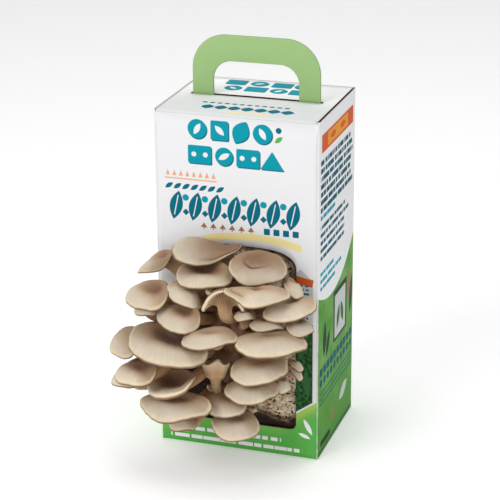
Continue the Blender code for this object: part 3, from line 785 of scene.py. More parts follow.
mushrooms = [
    Mushroom(1, (-46, -60, 145), -65, 24, -24, 20, 8, 5.5, 6, taper=0.12, bowl=0.5, stainAndShade=0.45, tone=-0.07,
             bumps=((5, 1.5, 0, 25), (-50, -2, 0, 30))),
    Mushroom(2, (-2, -59, 156), -60, -1, -16, 36, 14.5, 11.5, 9, 1.2, droop=5.2, taper=-0.5, dip=0.8,
             bowl=0.75, stainAndShade=0.6, fold=(118, 34, 1.2, 0.8), tone=-0.15,
             bumps=((-64, 0, 3, 24), (-115, -3.5, -4.5, 35), (168, 1, 2.5, 34), (146, 2.2, 0, 22),
                    (-150, 1.4, 0, 20))),
    Mushroom(3, (-14, -72, 146), 0, 22, 0, 18, 18, 20.5, 8, dip=6.5, bowl=0.62, stainAndShade=0.8, tone=-0.07),
    Mushroom(4, (21, -67, 154), 20, 34, 0, 20, 19, 20, 6, dip=4.5, bowl=0.72, stainAndShade=0.5,
             fold=(-30, 42, 1.3, 0.44), tone=-0.13,
             bumps=((-58, -2.4, 0, 22), (150, 0, -1.5, 16), (-150, 0, 1.2, 20))),
    Mushroom(5, (-46, -78, 129), -50, 20, -10, 21, 14, 16, 8, root=(-50, 24), dip=3.6, bowl=0.5, stainAndShade=0.7,
             bumps=((-70, 4, 0, 40), (48, -2.5, 0, 35))),
    Mushroom(6, (-52, -76, 116), -18, 14, 0, 10, 9.5, 9, 5, root=(-60, 15), dip=0.5, droop=6.5),
    Mushroom(7, (-22.5, -75, 129.8), -10, 20, -26, 13, 14, 14, 4, dip=0.5, bumps=((135, -6, 0, 38),)),
    Mushroom(8, (1, -72, 126), 10, -38, 3, 13, 15, 13.6, 6, ripple=(2, 5, 90), root=(14, 22), edge=2.4,
             deep=2.4, tone=0.22),
    Mushroom(9, (26, -84.5, 138.8), 18, 20, 0, 13, 23, 22, 4, 2, root=(32, 34), dip=2.5, bowl=0.22,
             fold=(-78, 24, 2.0, 0.76), tone=0.03,
             bumps=((-45, -6, 0, 24), (-75, -6, 0, 24), (-110, 0, 3, 35), (180, -1.5, -3, 25),
                    (66, -1.5, 2.5, 40), (112, 1.5, 1.5, 30))),
    Mushroom(10, (43.5, -62, 137), 50, 15, -20, 14, 6.5, 6, 5, stem=3.4, root=(60, 39), dip=0.6, tone=-0.02),
    Mushroom(11, (44, -72, 126.7), 25, 18, 10, 15, 18, 17.5, 5, root=(56, 27), dip=1, stainAndShade=0.1, tone=0.03,
             bumps=((-42, -2.2, 0, 30), (62, -1.5, 0, 30), (105, 1.5, 2.5, 32))),
    Mushroom(12, (-23, -84, 119), -24, 26, -6, 18.5, 19, 14, 5, 2, dip=4, bowl=0.5, stainAndShade=0.75, tone=-0.04,
             bumps=((100, 1, 1, 30), (-20, -1, 0, 40))),
    Mushroom(13, (15, -74, 116), 10, 8, 0, 8, 7, 8, 4, droop=4, stem=3.2, root=(26, 14)),
    Mushroom(14, (32, -78, 116), 18, 10, 0, 8, 12, 11, 4, stem=3, root=(45, 17), dip=3, bowl=0.8, stainAndShade=0.7,
             tone=-0.06),
    Mushroom(15, (51, -70, 113.4), 40, 16, 0, 12, 10, 10, 5, droop=6, root=(62, 9), tone=-0.05,
             bumps=((105, -3, 0, 35),)),
    Mushroom(16, (-67, -79, 94.4), -60, 30, -14, 17, 9.5, 15, 6, root=(-64, 3), dip=0, stainAndShade=0, tone=-0.07,
             bumps=((-60, -2.5, 0, 40), (72, 0.8, 0, 30), (110, 3.4, 0, 32))),
    Mushroom(17, (-31, -87, 101.5), -20, 23, -5, 26, 28.7, 32, 9, root=(-32, 7), dip=6.5, bowl=0.5,
             stainAndShade=0.95, tone=-0.06, bumps=((60, -2.5, 0, 34), (-112, 3.5, 0, 32))),
    Mushroom(18, (-1, -95, 109), 5, 18, 8, 12, 21, 17, 6, dip=1.5, tone=-0.06,
             bumps=((62, -3, 0.5, 40), (98, 2, 0, 25))),
    Mushroom(19, (35, -84, 107.5), 20, 18, 0, 18, 22, 25, 4, root=(40, 7), dip=1, bowl=0.2,
             bumps=((66, -2, 1.5, 38), (-50, -1, 0, 30), (88, 1.5, 0, 30), (-118, 1, 2, 30))),
    Mushroom(20, (-52, -92, 79), -40, 20, 0, 19.5, 15, 15, 10, root=(-46, 0), dip=3.5, bowl=0.62, stainAndShade=0.75,
             tone=0.08, bumps=((20, -1, 0, 32), (-62, 2.5, 0, 35), (80, 1.5, 0, 30))),
    Mushroom(21, (-62.5, -84, 67.8), -45, 15, 0, 15, 13, 11, 6, droop=5.5, root=(-54, -16), dip=0.5, bowl=0.1,
             stainAndShade=0, tone=0.08),
    Mushroom(22, (-32, -88, 70), -8, 30, 10, 17.5, 17, 21, 8, 1, -1, stem=4.4, root=(-8, -14), dip=7.5,
             bowl=0.64, stainAndShade=0.95, curl=1.0, fold=(72, 38, 0.9, 0.84), tone=0.12, bumps=((82, 1.5, 7, 34),)),
    Mushroom(23, (-3, -80, 77.4), 10, -22, 0, 9, 9.5, 9, 7, 0, -3, (5, 0.6, 90), 2.8, (4, -52), gills=0.15,
             deep=5, stainAndShade=0, tone=-0.04, stemTone=-0.4,
             bumps=((15, 0, 3.2, 22), (-88, 2.5, 0, 25), (78, 1.5, 1, 22), (-145, 1, 4, 28))),
    Mushroom(24, (28, -82, 87), 15, 24, 4, 18, 20, 20, 8, root=(34, -5), dip=1.5, bowl=0.4, stainAndShade=0.45,
             tone=0.02, bumps=((58, -3.5, 0, 42),)),
    Mushroom(25, (45, -64, 81.3), 62, 7, 0, 9.5, 2.6, 3, 4, 2, 5, stem=2.2, root=(64, 2), stainAndShade=0.8,
             tone=0.06),
    Mushroom(26, (45.5, -64, 76.6), 56, 15, -12, 10.5, 2.3, 2.5, 4, 2, 5, stem=1.9, root=(64, -8), tone=0.1),
    Mushroom(27, (22, -80, 69), 15, 22, 3, 16, 20, 19, 7, stem=3.8, dip=1, bowl=0.25,
             bumps=((-50, -2.5, 0, 38), (58, -4, 0, 40))),
    Mushroom(28, (-28, -92, 58), -12, 24, 6, 20, 27, 28, 5, 2, root=(-24, -48), dip=2.5, bowl=0.4, stainAndShade=0.45,
             bumps=((62, -5, 2, 40), (-50, -3.5, 0, 32), (-108, 2.5, 0, 25), (98, 1.5, 1, 30),
                    (130, 4.5, 2, 30))),
    Mushroom(29, (-27, -80, 36), -10, 15, 0, 8.8, 11, 9, 5, stem=3.2, root=(-28, -55),
             bumps=((55, -2, 0, 38),)),
    Mushroom(30, (6, -82, 61), 0, 28, 0, 18, 14, 13, 6, root=(12, -37), bowl=0.78, dip=3, stainAndShade=0.7,
             bumps=((-120, -3, 0, 35),)),
    Mushroom(31, (11, -84, 45), 10, 26, 0, 18, 17, 17, 6, root=(16, -52), dip=0.8, stainAndShade=0,
             bumps=((-60, -3, 0, 35), (50, -1, 0, 30))),
    Mushroom(32, (20, -74, 48), 20, 20, 0, 4, 3, 3, 2, 1, 2, stem=1.6),
    Mushroom(33, (39.5, -70, 69.8), 30, 20, 0, 9, 5, 5.5, 3, stem=2.3, root=(50, -19), dip=0.5),
]
buds = [  # small ones that never opened, which belong to the foot
    Mushroom(41, (-8, -78, 131.4), 0, 45, 0, 3.4, 2.6, 2.6, 2, 1, 1.5, stem=1.9, dip=0, tone=0.2),
    Mushroom(42, (-10, -75, 60.5), -20, 20, 0, 2.4, 1.8, 1.8, 1.8, 1, 1, stem=1.3, dip=0, tone=0.6),
]
growth = {
    "fullness": 0.9,  # squares a cap's oval outline a little
    "shoulder": 0.6,  # share of the way to the margin where a cap stands highest
    "rollStart": 0.8,  # share of the way to the margin where the edge begins to roll down
    "foldWidth": 0.035,  # of a crease, as a share of the way to the margin
    "thickness": (2.0, 1.5, 0.08),  # the least, and a start with a gain for each mm of a cap's width
    "rim": (0.42, 0.006),  # radius of the margin's round edge: a start, and a gain for each mm of width
    "lumps": 0.3,  # height of the cap's soft unevenness, mm
    "gillSpacing": 1.15,  # mm between gills at the margin
    "gillDepth": 1.5,
    "topShares": (0.04, 0.09, 0.15, 0.21, 0.28, 0.36, 0.44, 0.52, 0.6, 0.67, 0.715, 0.76, 0.8, 0.84, 0.88,
                  0.915, 0.945, 0.967, 0.984, 0.995, 1.0),  # the top's rings, closest at the margin
    "rimTurns": (35, 70, 105, 140, 172),  # rings round the edge
    "rimPath": (1.015, 1.03, 1.05, 1.07, 1.09),  # where these lie on the path that colours follow
    "thickRimPath": (0.95, 0.95, 0.96, 0.99, 1.05),  # the same, on a thick and pale edge
    "stemFlare": 1.15,  # radius under the cap and at the foot, over the stem's own
    "stemFoot": 0.8,
    "stemSwell": 0.28,
    "stemSunk": 1.6,  # how far a stem goes into the foot
    "footCentre": (-2, -42.5, 90),
    "footHalf": (24, 23, 46),
}


def capAxes(m):  # unit vectors ahead, to the right and up from the cap
    ahead = wayOut(m.yaw, -m.pitch)
    side = wayOut(m.yaw + 90, 0)
    normal = np.cross(ahead, side)
    side = side * math.cos(math.radians(m.roll)) + normal * math.sin(math.radians(m.roll))
    return ahead, side, np.cross(ahead, side)


def capThickness(m):
    least, start, gain = growth["thickness"]
    return max(least, start + gain * (m.left + m.right)) + m.deep


def rimRadius(m):
    start, gain = growth["rim"]
    return m.edge * (start + gain * (m.left + m.right))


def around(turn, centre, width):  # a soft bump round one turn, 1 at its middle
    apart = (turn - math.radians(centre) + math.pi) % (2 * math.pi) - math.pi
    return np.exp(-((apart / math.radians(width)) ** 2))


def marginPlan(m, turn):
    # oval through both ends and both sides, with a few small waves and the mushroom's own bumps
    halfLength = (m.reach + m.back) / 2
    halfWidth = np.where(np.sin(turn) >= 0, m.right, m.left)
    cosine, sine = (np.sign(f(turn)) * abs(f(turn)) ** growth["fullness"] for f in (np.cos, np.sin))
    ahead = m.reach - halfLength + halfLength * cosine
    aside = halfWidth * sine * (1 - m.taper * np.cos(turn))
    waves = 1 + 0.012 * np.sin(3 * turn + m.number) + 0.009 * np.sin(7 * turn + 2.3 * m.number)
    waves = waves + 0.005 * np.sin(15 * turn + 1.7 * m.number)
    length = np.hypot(ahead, aside)
    scale = waves + sum(out * around(turn, place, width) for place, out, _, width in m.bumps) / length
    return ahead * scale, aside * scale, length * scale


def capHeight(m, share, turn):
    # climbs to a shoulder and falls to the margin, both less at the back, and ripples at the margin
    count, height, phase = m.ripple
    lift = height * share**2 * np.sin(count * turn + math.radians(phase))
    for place, _, up, width in m.bumps:
        lift = lift + up * share**2 * around(turn, place, width)
    climb = m.rise * np.sin(np.minimum(1.0, share / growth["shoulder"]) * math.pi / 2) ** 1.5
    climb = climb * (0.3 + 0.7 * (1 + np.cos(turn)) / 2)
    fall = m.droop * share**2.5 * (0.2 + 0.8 * np.minimum(1.0, 1 + np.cos(turn)))
    return climb - fall + lift


def crease(m, share, turn):  # a soft line at one share of the way to the margin, over some turns
    if not m.fold:
        return 0.0 * share * turn
    place, width, _, level = m.fold
    return np.exp(-(((share - level) / growth["foldWidth"]) ** 2)) * around(turn, place, width) ** 0.5


def capTop(m, share, turn):
    # the cap's height, dipped in the funnel, and rolled down along a quarter of an ellipse at the margin
    share = np.minimum(1.0, share)
    front = (1 + np.cos(turn)) / 2
    roll = np.clip((share - growth["rollStart"]) / (1 - growth["rollStart"]), 0, 1)
    rolled = m.curl * (capThickness(m) - m.deep) * (0.4 + 0.6 * front) * (1 - np.sqrt(1 - roll * roll))
    sunk = m.dip * np.exp(-((share / (m.bowl * (1 - 0.2 * np.cos(turn)))) ** 2))
    if m.fold:
        sunk = sunk + m.fold[2] * crease(m, share, turn)
    return capHeight(m, share, turn) - rolled - sunk


def capPlace(m, distance, height, turn):
    # a point this far from the funnel towards the margin, and this high over the funnel, all in mm
    forwards, side, normal = capAxes(m)
    ahead, aside, length = marginPlan(m, turn)
    share = distance / length
    a, b = share * ahead, share * aside
    fade = smoothStep(share, 0, 0.5) * (1 - 0.6 * smoothStep(share, 0.9, 1))
    lumps = growth["lumps"] * fade * np.sin(0.33 * a + m.number) * np.sin(0.29 * b + 2 * m.number)
    high = height + lumps
    return np.array(m.at) + a[..., None] * forwards + b[..., None] * side + high[..., None] * normal


def bezier(ends, t):  # the cubic curve of four points, and its slope
    a, b, c, d = ends
    curve = (1 - t) ** 3 * a + 3 * t * (1 - t) ** 2 * b + 3 * t * t * (1 - t) * c + t**3 * d
    slope = -3 * (1 - t) ** 2 * a + 3 * (1 - t) * (1 - 3 * t) * b + 3 * t * (2 - 3 * t) * c + 3 * t * t * d
    return curve, slope


def stemCurve(m, t):
    # a Bezier curve from under the cap to just inside the foot, with its direction
    ahead, _, normal = capAxes(m)
    centre, half = np.array(growth["footCentre"], float), np.array(growth["footHalf"], float)
    top = np.array(m.at) - normal * (capThickness(m) + m.stem)
    way = wayOut(*m.root) if m.root else unit((np.array(m.at) - centre) / half)
    foot, outwards = centre + half * way, unit(way / half)
    pull = 0.35 * np.linalg.norm(top - foot)
    foot = foot - growth["stemSunk"] * outwards
    bends = (top, top - (normal * 0.87 + ahead * 0.5) * pull, foot + outwards * pull, foot)
    curve, slope = bezier(bends, t[:, None])
    return curve, unit(slope)


def stemRings(m, t, turn, sink):
    # rings round the stem's curve: widest under the cap, with a soft swell at the foot
    centre, along = stemCurve(m, t)
    side = capAxes(m)[1]
    across = unit(side - (along @ side)[:, None] * along)
    ahead = np.cross(along, across)
    radius = m.stem * (growth["stemFlare"] + (growth["stemFoot"] - growth["stemFlare"]) * t)
    radius = (radius * (1 + growth["stemSwell"] * smoothStep(t, 0.72, 1.0)))[:, None]
    wave = 0.04 * np.sin(2 * turn + 4 * t[:, None] + m.number) + 0.02 * np.sin(5 * turn - m.number)
    radius = radius * (1 + wave)
    sideways = np.cos(turn)[..., None] * ahead[:, None] + np.sin(turn)[..., None] * across[:, None]
    return centre[:, None] + (radius - sink)[..., None] * sideways


def capRings(m, turn):
    # the top from the funnel to the margin, and on round the rim along part of a circle
    length = marginPlan(m, turn)[2]
    shares = np.array(growth["topShares"])[:, None] + 0 * length
    top = capPlace(m, shares * length, capTop(m, shares, turn), turn)
    rim, bend = rimRadius(m), np.radians(growth["rimTurns"])[:, None]
    edge = capPlace(m, length - rim + rim * np.cos(bend), capTop(m, 1.0, turn) - rim * np.sin(bend), turn)
    return np.concatenate([top, edge])


def gillRings(m, turn, w, blade, short):
    # under the cap: w runs from the margin to where the underside turns into the stem. The cap gets thicker
    # along it, gills are cut into it, and every second gill ends before the stem
    rim, thick = rimRadius(m), capThickness(m)
    length = marginPlan(m, turn)[2]
    start = length - 2 * rim
    turnIn = np.maximum(0.55, 1.2 * m.stem / length) * length
    distance = start + (turnIn - start) * w
    atMargin = np.maximum(capTop(m, start / length, turn) - capTop(m, 1.0, turn), 0.8 * rim)
    depth = atMargin + (thick - atMargin) * w ** (0.8 if m.deep == 0 else 1.1)
    blades = blade * (short + (1 - short) * (1 - smoothStep(w, 0.45, 0.7)))
    cut = m.gills * np.minimum(growth["gillDepth"], 0.62 * depth) * smoothStep(w, 0.0, 0.12)
    rings = capPlace(m, distance, capTop(m, distance / length, turn) - depth + cut * (1 - blades), turn)
    inner = capPlace(m, turnIn, capTop(m, turnIn / length, turn) - thick, turn)
    return rings, inner, blades


def neckRings(m, turn, s, inner, blades):
    # a Bezier curve from the underside to the stem's first ring, with gills that fade down it
    thick, normal = capThickness(m), capAxes(m)[2]
    stemTop = stemRings(m, np.array([0.0]), turn, 0.0)[0]
    along = stemCurve(m, np.array([0.0]))[1]
    axis = np.array(m.at) - normal * thick
    gap = np.linalg.norm(stemTop - inner, axis=-1, keepdims=True)
    neck, _ = bezier((inner, inner + 0.3 * (axis - inner), stemTop - along * 0.45 * gap, stemTop), s)
    inward = unit(unit(axis - inner) * s + normal * (1 - s))
    fade = (1 - s[..., 0]) * 0.75 + 0.25
    cut = m.gills * np.minimum(growth["gillDepth"], 0.7 * thick) * fade * (1 - blades)
    return neck + inward * (0.6 * cut)[..., None]


def closedSkin(pole, blocks, tip):
    # one skin from a pole over blocks of rings to a tip, where a block's rings have n or 4n points
    quads, triangles = [], []
    first, last = 1, None
    for block in blocks:
        rows, columns = block.shape[:2]
        ring = first + np.arange(columns)
        if last is None:
            triangles.append(fan(ring, 0)[:, ::-1])
        elif len(last) < columns:
            triangles.append(stitchFaces(last, ring))
        else:
            triangles.append(stitchFaces(ring, last, flip=True))
        quads.append(gridFaces(first, rows, columns))
        first += rows * columns
        last = ring + (rows - 1) * columns
    triangles.append(fan(last, first))
    points = np.concatenate([pole, *(block.reshape(-1, 3) for block in blocks), tip])
    return points, [np.concatenate(quads), np.concatenate(triangles)]


def perPoint(atPole, blocks, atTip):
    return np.concatenate([[atPole], *(block.ravel() for block in blocks), [atTip]])


def makeMushroom(m, name):
    # one closed skin: over the top, round the rim, back under the gills, down the neck and the stem
    perimeter = math.pi * ((m.reach + m.back) / 2 + (m.left + m.right) / 2)
    gills = 2 * max(18, round(perimeter / growth["gillSpacing"] / 2))
    coarse, fine = (np.arange(n) * 2 * math.pi / n for n in (gills, 4 * gills))
    w = np.linspace(0.04, 1, 9)[:, None]
    s = np.linspace(0, 1, 7)[1:-1, None, None]
    tFine, tCoarse = np.array([0.0, 0.09, 0.18, 0.27]), np.linspace(0.34, 1.0, 11)
    blade = np.tile([1.0, 0.35, 0.0, 0.35], gills)  # 1 on a gill's edge, 0 between two gills
    short = np.tile([1.0] * 4 + [0.0] * 4, gills // 2)  # 1 on the gills that run on to the stem
    under, inner, bladesUnder = gillRings(m, fine, w, blade, short)
    neck = neckRings(m, fine, s, inner, blade * short)
    sink = 0.22 * m.gills * (1 - tFine / 0.3)[:, None] * growth["gillDepth"] * (1 - blade * short)
    blocks = [
        capRings(m, coarse),
        np.concatenate([under, neck, stemRings(m, tFine, fine, sink)]),
        stemRings(m, tCoarse, coarse, 0.0),
    ]
    pole = np.array([m.at]) - m.dip * capAxes(m)[2]
    points, faces = closedSkin(pole, blocks, stemCurve(m, np.array([1.0]))[0])

    # path: 0 funnel, 1 rim, 1.1 to 2 gills, 2 to 2.3 neck, 2.3 to 3.3 stem. blades: 1 on a gill's edge
    pathTop = np.array(growth["topShares"] + growth["rimPath" if m.edge < 1.5 else "thickRimPath"])
    pathFine = np.concatenate([1.1 + 0.9 * w[:, 0], 2 + 0.3 * s[:, 0, 0], 2.3 + tFine])
    paths = (pathTop[:, None], pathFine[:, None], 2.3 + tCoarse[:, None])
    path = perPoint(0, [p + 0 * turn for p, turn in zip(paths, (coarse, fine, coarse))], 3.3)
    turns = perPoint(0, [0 * p + turn for p, turn in zip(paths, (coarse, fine, coarse))], 0)
    bladesFine = np.concatenate([bladesUnder, np.tile(blade * short, (len(neck) + len(tFine), 1))])
    blades = perPoint(1, [0 * paths[0] * coarse + 1, bladesFine, 0 * paths[2] * coarse + 1], 1)
    facing = perPoint(0, [
        np.minimum(1, paths[0]) * marginPlan(m, coarse)[0], 0 * paths[1] + marginPlan(m, fine)[0],
        0 * paths[2] * coarse], 0) / m.reach
    # the funnel's brown stain and painted shade in its hollow
    hollow = m.stainAndShade * np.exp(-((path / (1.2 * m.bowl * (1 - 0.25 * np.cos(turns)))) ** 3.5))

    piece = newPiece(name, points * mm, faces)
    setAttribute(piece, "path", path)
    setAttribute(piece, "blades", 1 - (1 - blades) * m.gills)
    setAttribute(piece, "fibre", np.stack([np.cos(turns), np.sin(turns), path + m.number], 1))
    setAttribute(piece, "facing", facing)
    # painted shade along the crease as well
    setAttribute(piece, "hollow", hollow + 0.6 * crease(m, path, turns))
    setAttribute(piece, "tone", m.tone + m.stemTone * smoothStep(path, 1.9, 2.4))
    piece.data.materials.append(flesh)
    return piece


def arc(centre, radius, start, end, steps):
    a = np.radians(np.linspace(start, end, steps + 1))
    return np.stack([centre[0] + radius * np.cos(a), centre[1] + radius * np.sin(a)], 1)


def straight(start, end, steps):  # points between two others, which are left out
    return np.linspace(start, end, steps + 1)[1:-1]


def alongPath(path, count):
    # points at equal steps along a polyline, without its end
    length = np.concatenate([[0], np.cumsum(np.hypot(*np.diff(path, axis=0).T))])
    where = np.linspace(0, length[-1], count + 1)[:count]
    return np.stack([np.interp(where, length, path[:, k]) for k in (0, 1)], 1)


def windowSides(w, counts):
    # the window's edge from the middle of its lower left corner, anticlockwise, with a count for each side;
    # the arch is half of a fourth-power oval
    half, low, r = w["half"], w["sill"], w["corner"]
    s = np.cos(np.linspace(0, math.pi, 241))
    arch = np.stack([half * s, w["spring"] + w["rise"] * np.sqrt(1 - s**4)], 1)
    cut = int(np.argmax(s < 0.95))
    cornerRight, cornerLeft = (half - r, low + r), (r - half, low + r)
    right, left = arc(cornerRight, r, -45, 0, 8), arc(cornerLeft, r, 180, 225, 8)
    floor = np.concatenate([arc(cornerLeft, r, 225, 270, 8), arc(cornerRight, r, 270, 315, 8)])
    upRight, downLeft = np.concatenate([right, arch[: cut + 1]]), np.concatenate([arch[-cut - 1 :], left])
    sides = [floor, upRight, arch[cut:-cut], downLeft]
    return np.concatenate([alongPath(side, n) for side, n in zip(sides, counts)])


def boxSides(across, up):
    # a rectangle's edge, anticlockwise from its lower left corner, at these levels across and up
    sides = [(across[:-1], up[0]), (across[-1], up[:-1]), (across[:0:-1], up[-1]), (across[0], up[:0:-1])]
    return np.concatenate([np.stack(np.broadcast_arrays(x, y), 1) for x, y in sides])


def roundedBox(low, high, radius, perSide, perCorner=8):
    # a rectangle with round corners, anticlockwise from the bottom's left end, with the same count each time
    (x0, z0), (x1, z1) = np.add(low, radius), np.subtract(high, radius)
    centres = zip(((x1, z0), (x1, z1), (x0, z1), (x0, z0)), (-90, 0, 90, 180))
    bends = [arc(centre, radius, start, start + 90, perCorner) for centre, start in centres]
    parts = []
    for k, bend in enumerate(bends):
        parts.append(np.linspace(bends[k - 1][-1], bend[0], perSide[k % 2] + 1)[:-1])
        parts.append(bend[:-1])
    return np.concatenate(parts)


def holedPanel(inner, outer, rings, bias=1.3):
    # rings that pass from a hole's edge to the panel's edge, as n by 2 places and their faces
    w = np.linspace(0, 1, rings)[:, None, None] ** bias
    places = (1 - w) * inner + w * outer
    return places.reshape(-1, 2), gridFaces(0, rings, len(inner))


def strip(x, profile):
    # a profile of Y and Z carried along X
    points = gridPoints(x[None], profile[:, :1], profile[:, 1:])
    return points, gridFaces(0, len(profile), len(x), closed=False)


def turnedOver(sheet):
    return sheet[0], sheet[1][:, ::-1]


def joinSheets(name, sheets, finishes):
    # welds sheets that share edge points into one piece
    points = np.concatenate([s[0] for s in sheets])
    starts = np.cumsum([0] + [len(s[0]) for s in sheets[:-1]])
    piece = newPiece(name, points * mm, [s[1] + start for s, start in zip(sheets, starts)])
    welder = bmesh.new()
    welder.from_mesh(piece.data)
    bmesh.ops.remove_doubles(welder, verts=welder.verts, dist=1e-6)
    welder.to_mesh(piece.data)
    welder.free()
    for material in finishes:
        piece.data.materials.append(material)
    return piece


def thicken(piece, thickness, core=0, rim=None):
    # core and rim count the inner face's and the cut edge's finishes on from the outer face's
    wall = piece.modifiers.new("board", "SOLIDIFY")
    wall.thickness, wall.offset, wall.use_even_offset = thickness * mm, -1, True
    wall.material_offset, wall.material_offset_rim = core, core if rim is None else rim


def bowOf(a, b):  # 1 in the middle of a panel and 0 along its edges
    return (1 - a * a) * (1 - b * b)


def makeCarton(c, w):
    # the front: rings from the window's edge to the wall's edge, standing out in their middle
    (halfX, halfY), r, height = c["half"], c["fold"], c["height"]
    rows = np.concatenate([[c["low"], c["hem"]], np.linspace(6, 234, 39), [c["seat"], height]])
    across = np.linspace(r - halfX, halfX - r, 31)
    counts = (len(across) - 1, len(rows) - 3) * 2
    flat, frontFaces = holedPanel(windowSides(w, counts), boxSides(across, rows[1:-1]), 10)
    bow = c["bow"] * bowOf(flat[:, 0] / halfX, flat[:, 1] / (height / 2) - 1)
    front = np.stack([flat[:, 0], -halfY - bow, flat[:, 1]], 1)

    # the other three walls with their four folds, from the front's right edge round to its left edge
    bends = [arc((x * (halfX - r), y * (halfY - r)), r, start, start + 90, 5)
             for x, y, start in ((1, -1, -90), (1, 1, 0), (-1, 1, 90), (-1, -1, 180))]
    ring = bends[:1]
    for bend, steps in zip(bends[1:], (13, 15, 13)):
        ring += [straight(ring[-1][-1], bend[0], steps), bend]
    x, y = np.concatenate(ring).T[:, None]
    up = rows[:, None] / (height / 2) - 1
    sideBow = c["bow"] * bowOf(y / halfY, up) * np.sign(x) * (abs(x) > halfX - 0.01)
    backBow = c["bow"] * bowOf(x / halfX, up) * (y > halfY - 0.01)
    walls = gridPoints(x + sideBow, y + backBow, rows[:, None])
    wallFaces = gridFaces(0, len(rows), x.size, closed=False)[:, ::-1]
    middles = walls[wallFaces].mean(1)
    lowBack = (middles[:, 2] < 1.0) & (middles[:, 1] > halfY - 0.2)  # left open for the bottom's fold
    # the right wall's inner face and cut edge take painted shade, the back and left walls' take painted light
    cutEdges = [boardCore, paintedShadeEdge, paintedLightEdge]  # of the front, of the right, and of the other two
    finishes = [panelMaterial[side] for side in ("front", "right", "back", "left")] + cutEdges
    piece = joinSheets("cartonWalls", [(front, frontFaces), (walls, wallFaces[~lowBack])], finishes)

    # each face takes the print of the wall that it is furthest out on
    centres = np.empty(len(piece.data.polygons) * 3)
    piece.data.polygons.foreach_get("center", centres)
    x, y, _ = centres.reshape(-1, 3).T / mm
    nearness = np.stack([-y - halfY, x - halfX, y - halfY, -x - halfX])
    piece.data.polygons.foreach_set("material_index", np.argmax(nearness, 0).astype(np.int32))
    thicken(piece, c["board"], core=4)
    return piece


def makeBottom(c):
    # two flaps that meet at the seam, each rolled from its wall: a profile carried along X
    (halfX, halfY), board, hem, lift = c["half"], c["board"], c["hem"], c["bottomLift"]
    roll = arc((hem - halfY, hem), hem - lift, 180, 270, 5)
    x = np.linspace(0.9 - halfX, halfX - 0.9, 25)
    sheets = []
    for side in (-1, 1):
        profile = roll * (-side, 1)
        reach = np.linspace(profile[-1], (c["seam"] + side * c["seamGap"], lift), 10)[1:]
        flap = strip(x, np.concatenate([profile, reach]))
        sheets.append(turnedOver(flap) if side > 0 else flap)
    flaps = joinSheets("cartonBottomFlaps", sheets, [boardPlain, boardCore])
    thicken(flaps, board - lift, core=1)

    # two short dust flaps over them: a grid with a soft wave
    inner, height, thickness = c["dustFlap"]
    y = np.linspace(0.95 - halfY, halfY - 0.95, 20)
    sheets = []
    for side in (-1, 1):
        x = side * np.linspace(halfX - board - lift, inner, 12)[:, None]
        points = gridPoints(x, y[None], height + lift * np.sin(x * 0.3) * np.sin(y * 0.2))
        flap = (points, gridFaces(0, x.size, y.size, closed=False))
        sheets.append(turnedOver(flap) if side < 0 else flap)
    dustFlaps = joinSheets("cartonDustFlaps", sheets, [boardCore])
    thicken(dustFlaps, thickness)
    return flaps, dustFlaps


def makeLid(c):
    # rings from the slot's edge to the panel's edge, with a roll and a tuck carried along X
    halfX, front, back = c["lidHalf"], -c["half"][1], c["lidBack"]
    r, top = c["fold"], c["height"]
    across = np.linspace(-halfX, halfX, 31)
    slot = boxSides(*(np.linspace(-half, half, n) for half, n in zip(c["slot"], (31, 21))))
    flat, panelFaces = holedPanel(slot, boxSides(across, np.linspace(front + r, back - r, 21)), 9, 1.1)
    rise = c["bow"] * bowOf(flat[:, 0] / halfX, flat[:, 1] / (front + r))
    panel = np.stack([flat[:, 0], flat[:, 1], top + rise], 1)
    frontRoll = arc((front + r, top - r), r, 180, 90, 6)
    tuck = np.linspace((back, c["tuck"][0]), (back, c["tuck"][1]), 5)
    backRoll = np.concatenate([arc((back - r, top - r), r, 90, 0, 6), tuck])
    sheets = [(panel, panelFaces), turnedOver(strip(across, frontRoll)), turnedOver(strip(across, backRoll))]
    # the lid's cut edges take painted shade
    piece = joinSheets("cartonLidPanel", sheets, [panelMaterial["top"], boardCore, paintedShadeEdge])
    thicken(piece, c["board"], core=1, rim=2)
    return piece


handleSet = {
    "half": 45.0, "top": 283.0, "leg": 15.0, "grip": 18.0,
    "outer": 24.0,  # radius of the loop's corners
    "inner": 13.0,
    "board": 1.6,
    "edge": 0.45,  # radius of the board's edges
    "foot": 236.0,
    "flapHalf": 44.6,
    "flapBoard": 0.8,
}


def handleEdge(half, top, radius, foot, steps):
    # up the right side, round two corners and down the left side
    right = arc((half - radius, top - radius), radius, 0, 90, 24)
    left = arc((radius - half, top - radius), radius, 90, 180, 24)
    path = np.concatenate([[[half, foot]], right, left, [[-half, foot]]])
    marks = [0, 1, 25, 26, 50, 51]
    parts = [alongPath(path[a : b + 1], n) for a, b, n in zip(marks[:-1], marks[1:], steps)]
    return np.concatenate(parts + [path[-1:]])


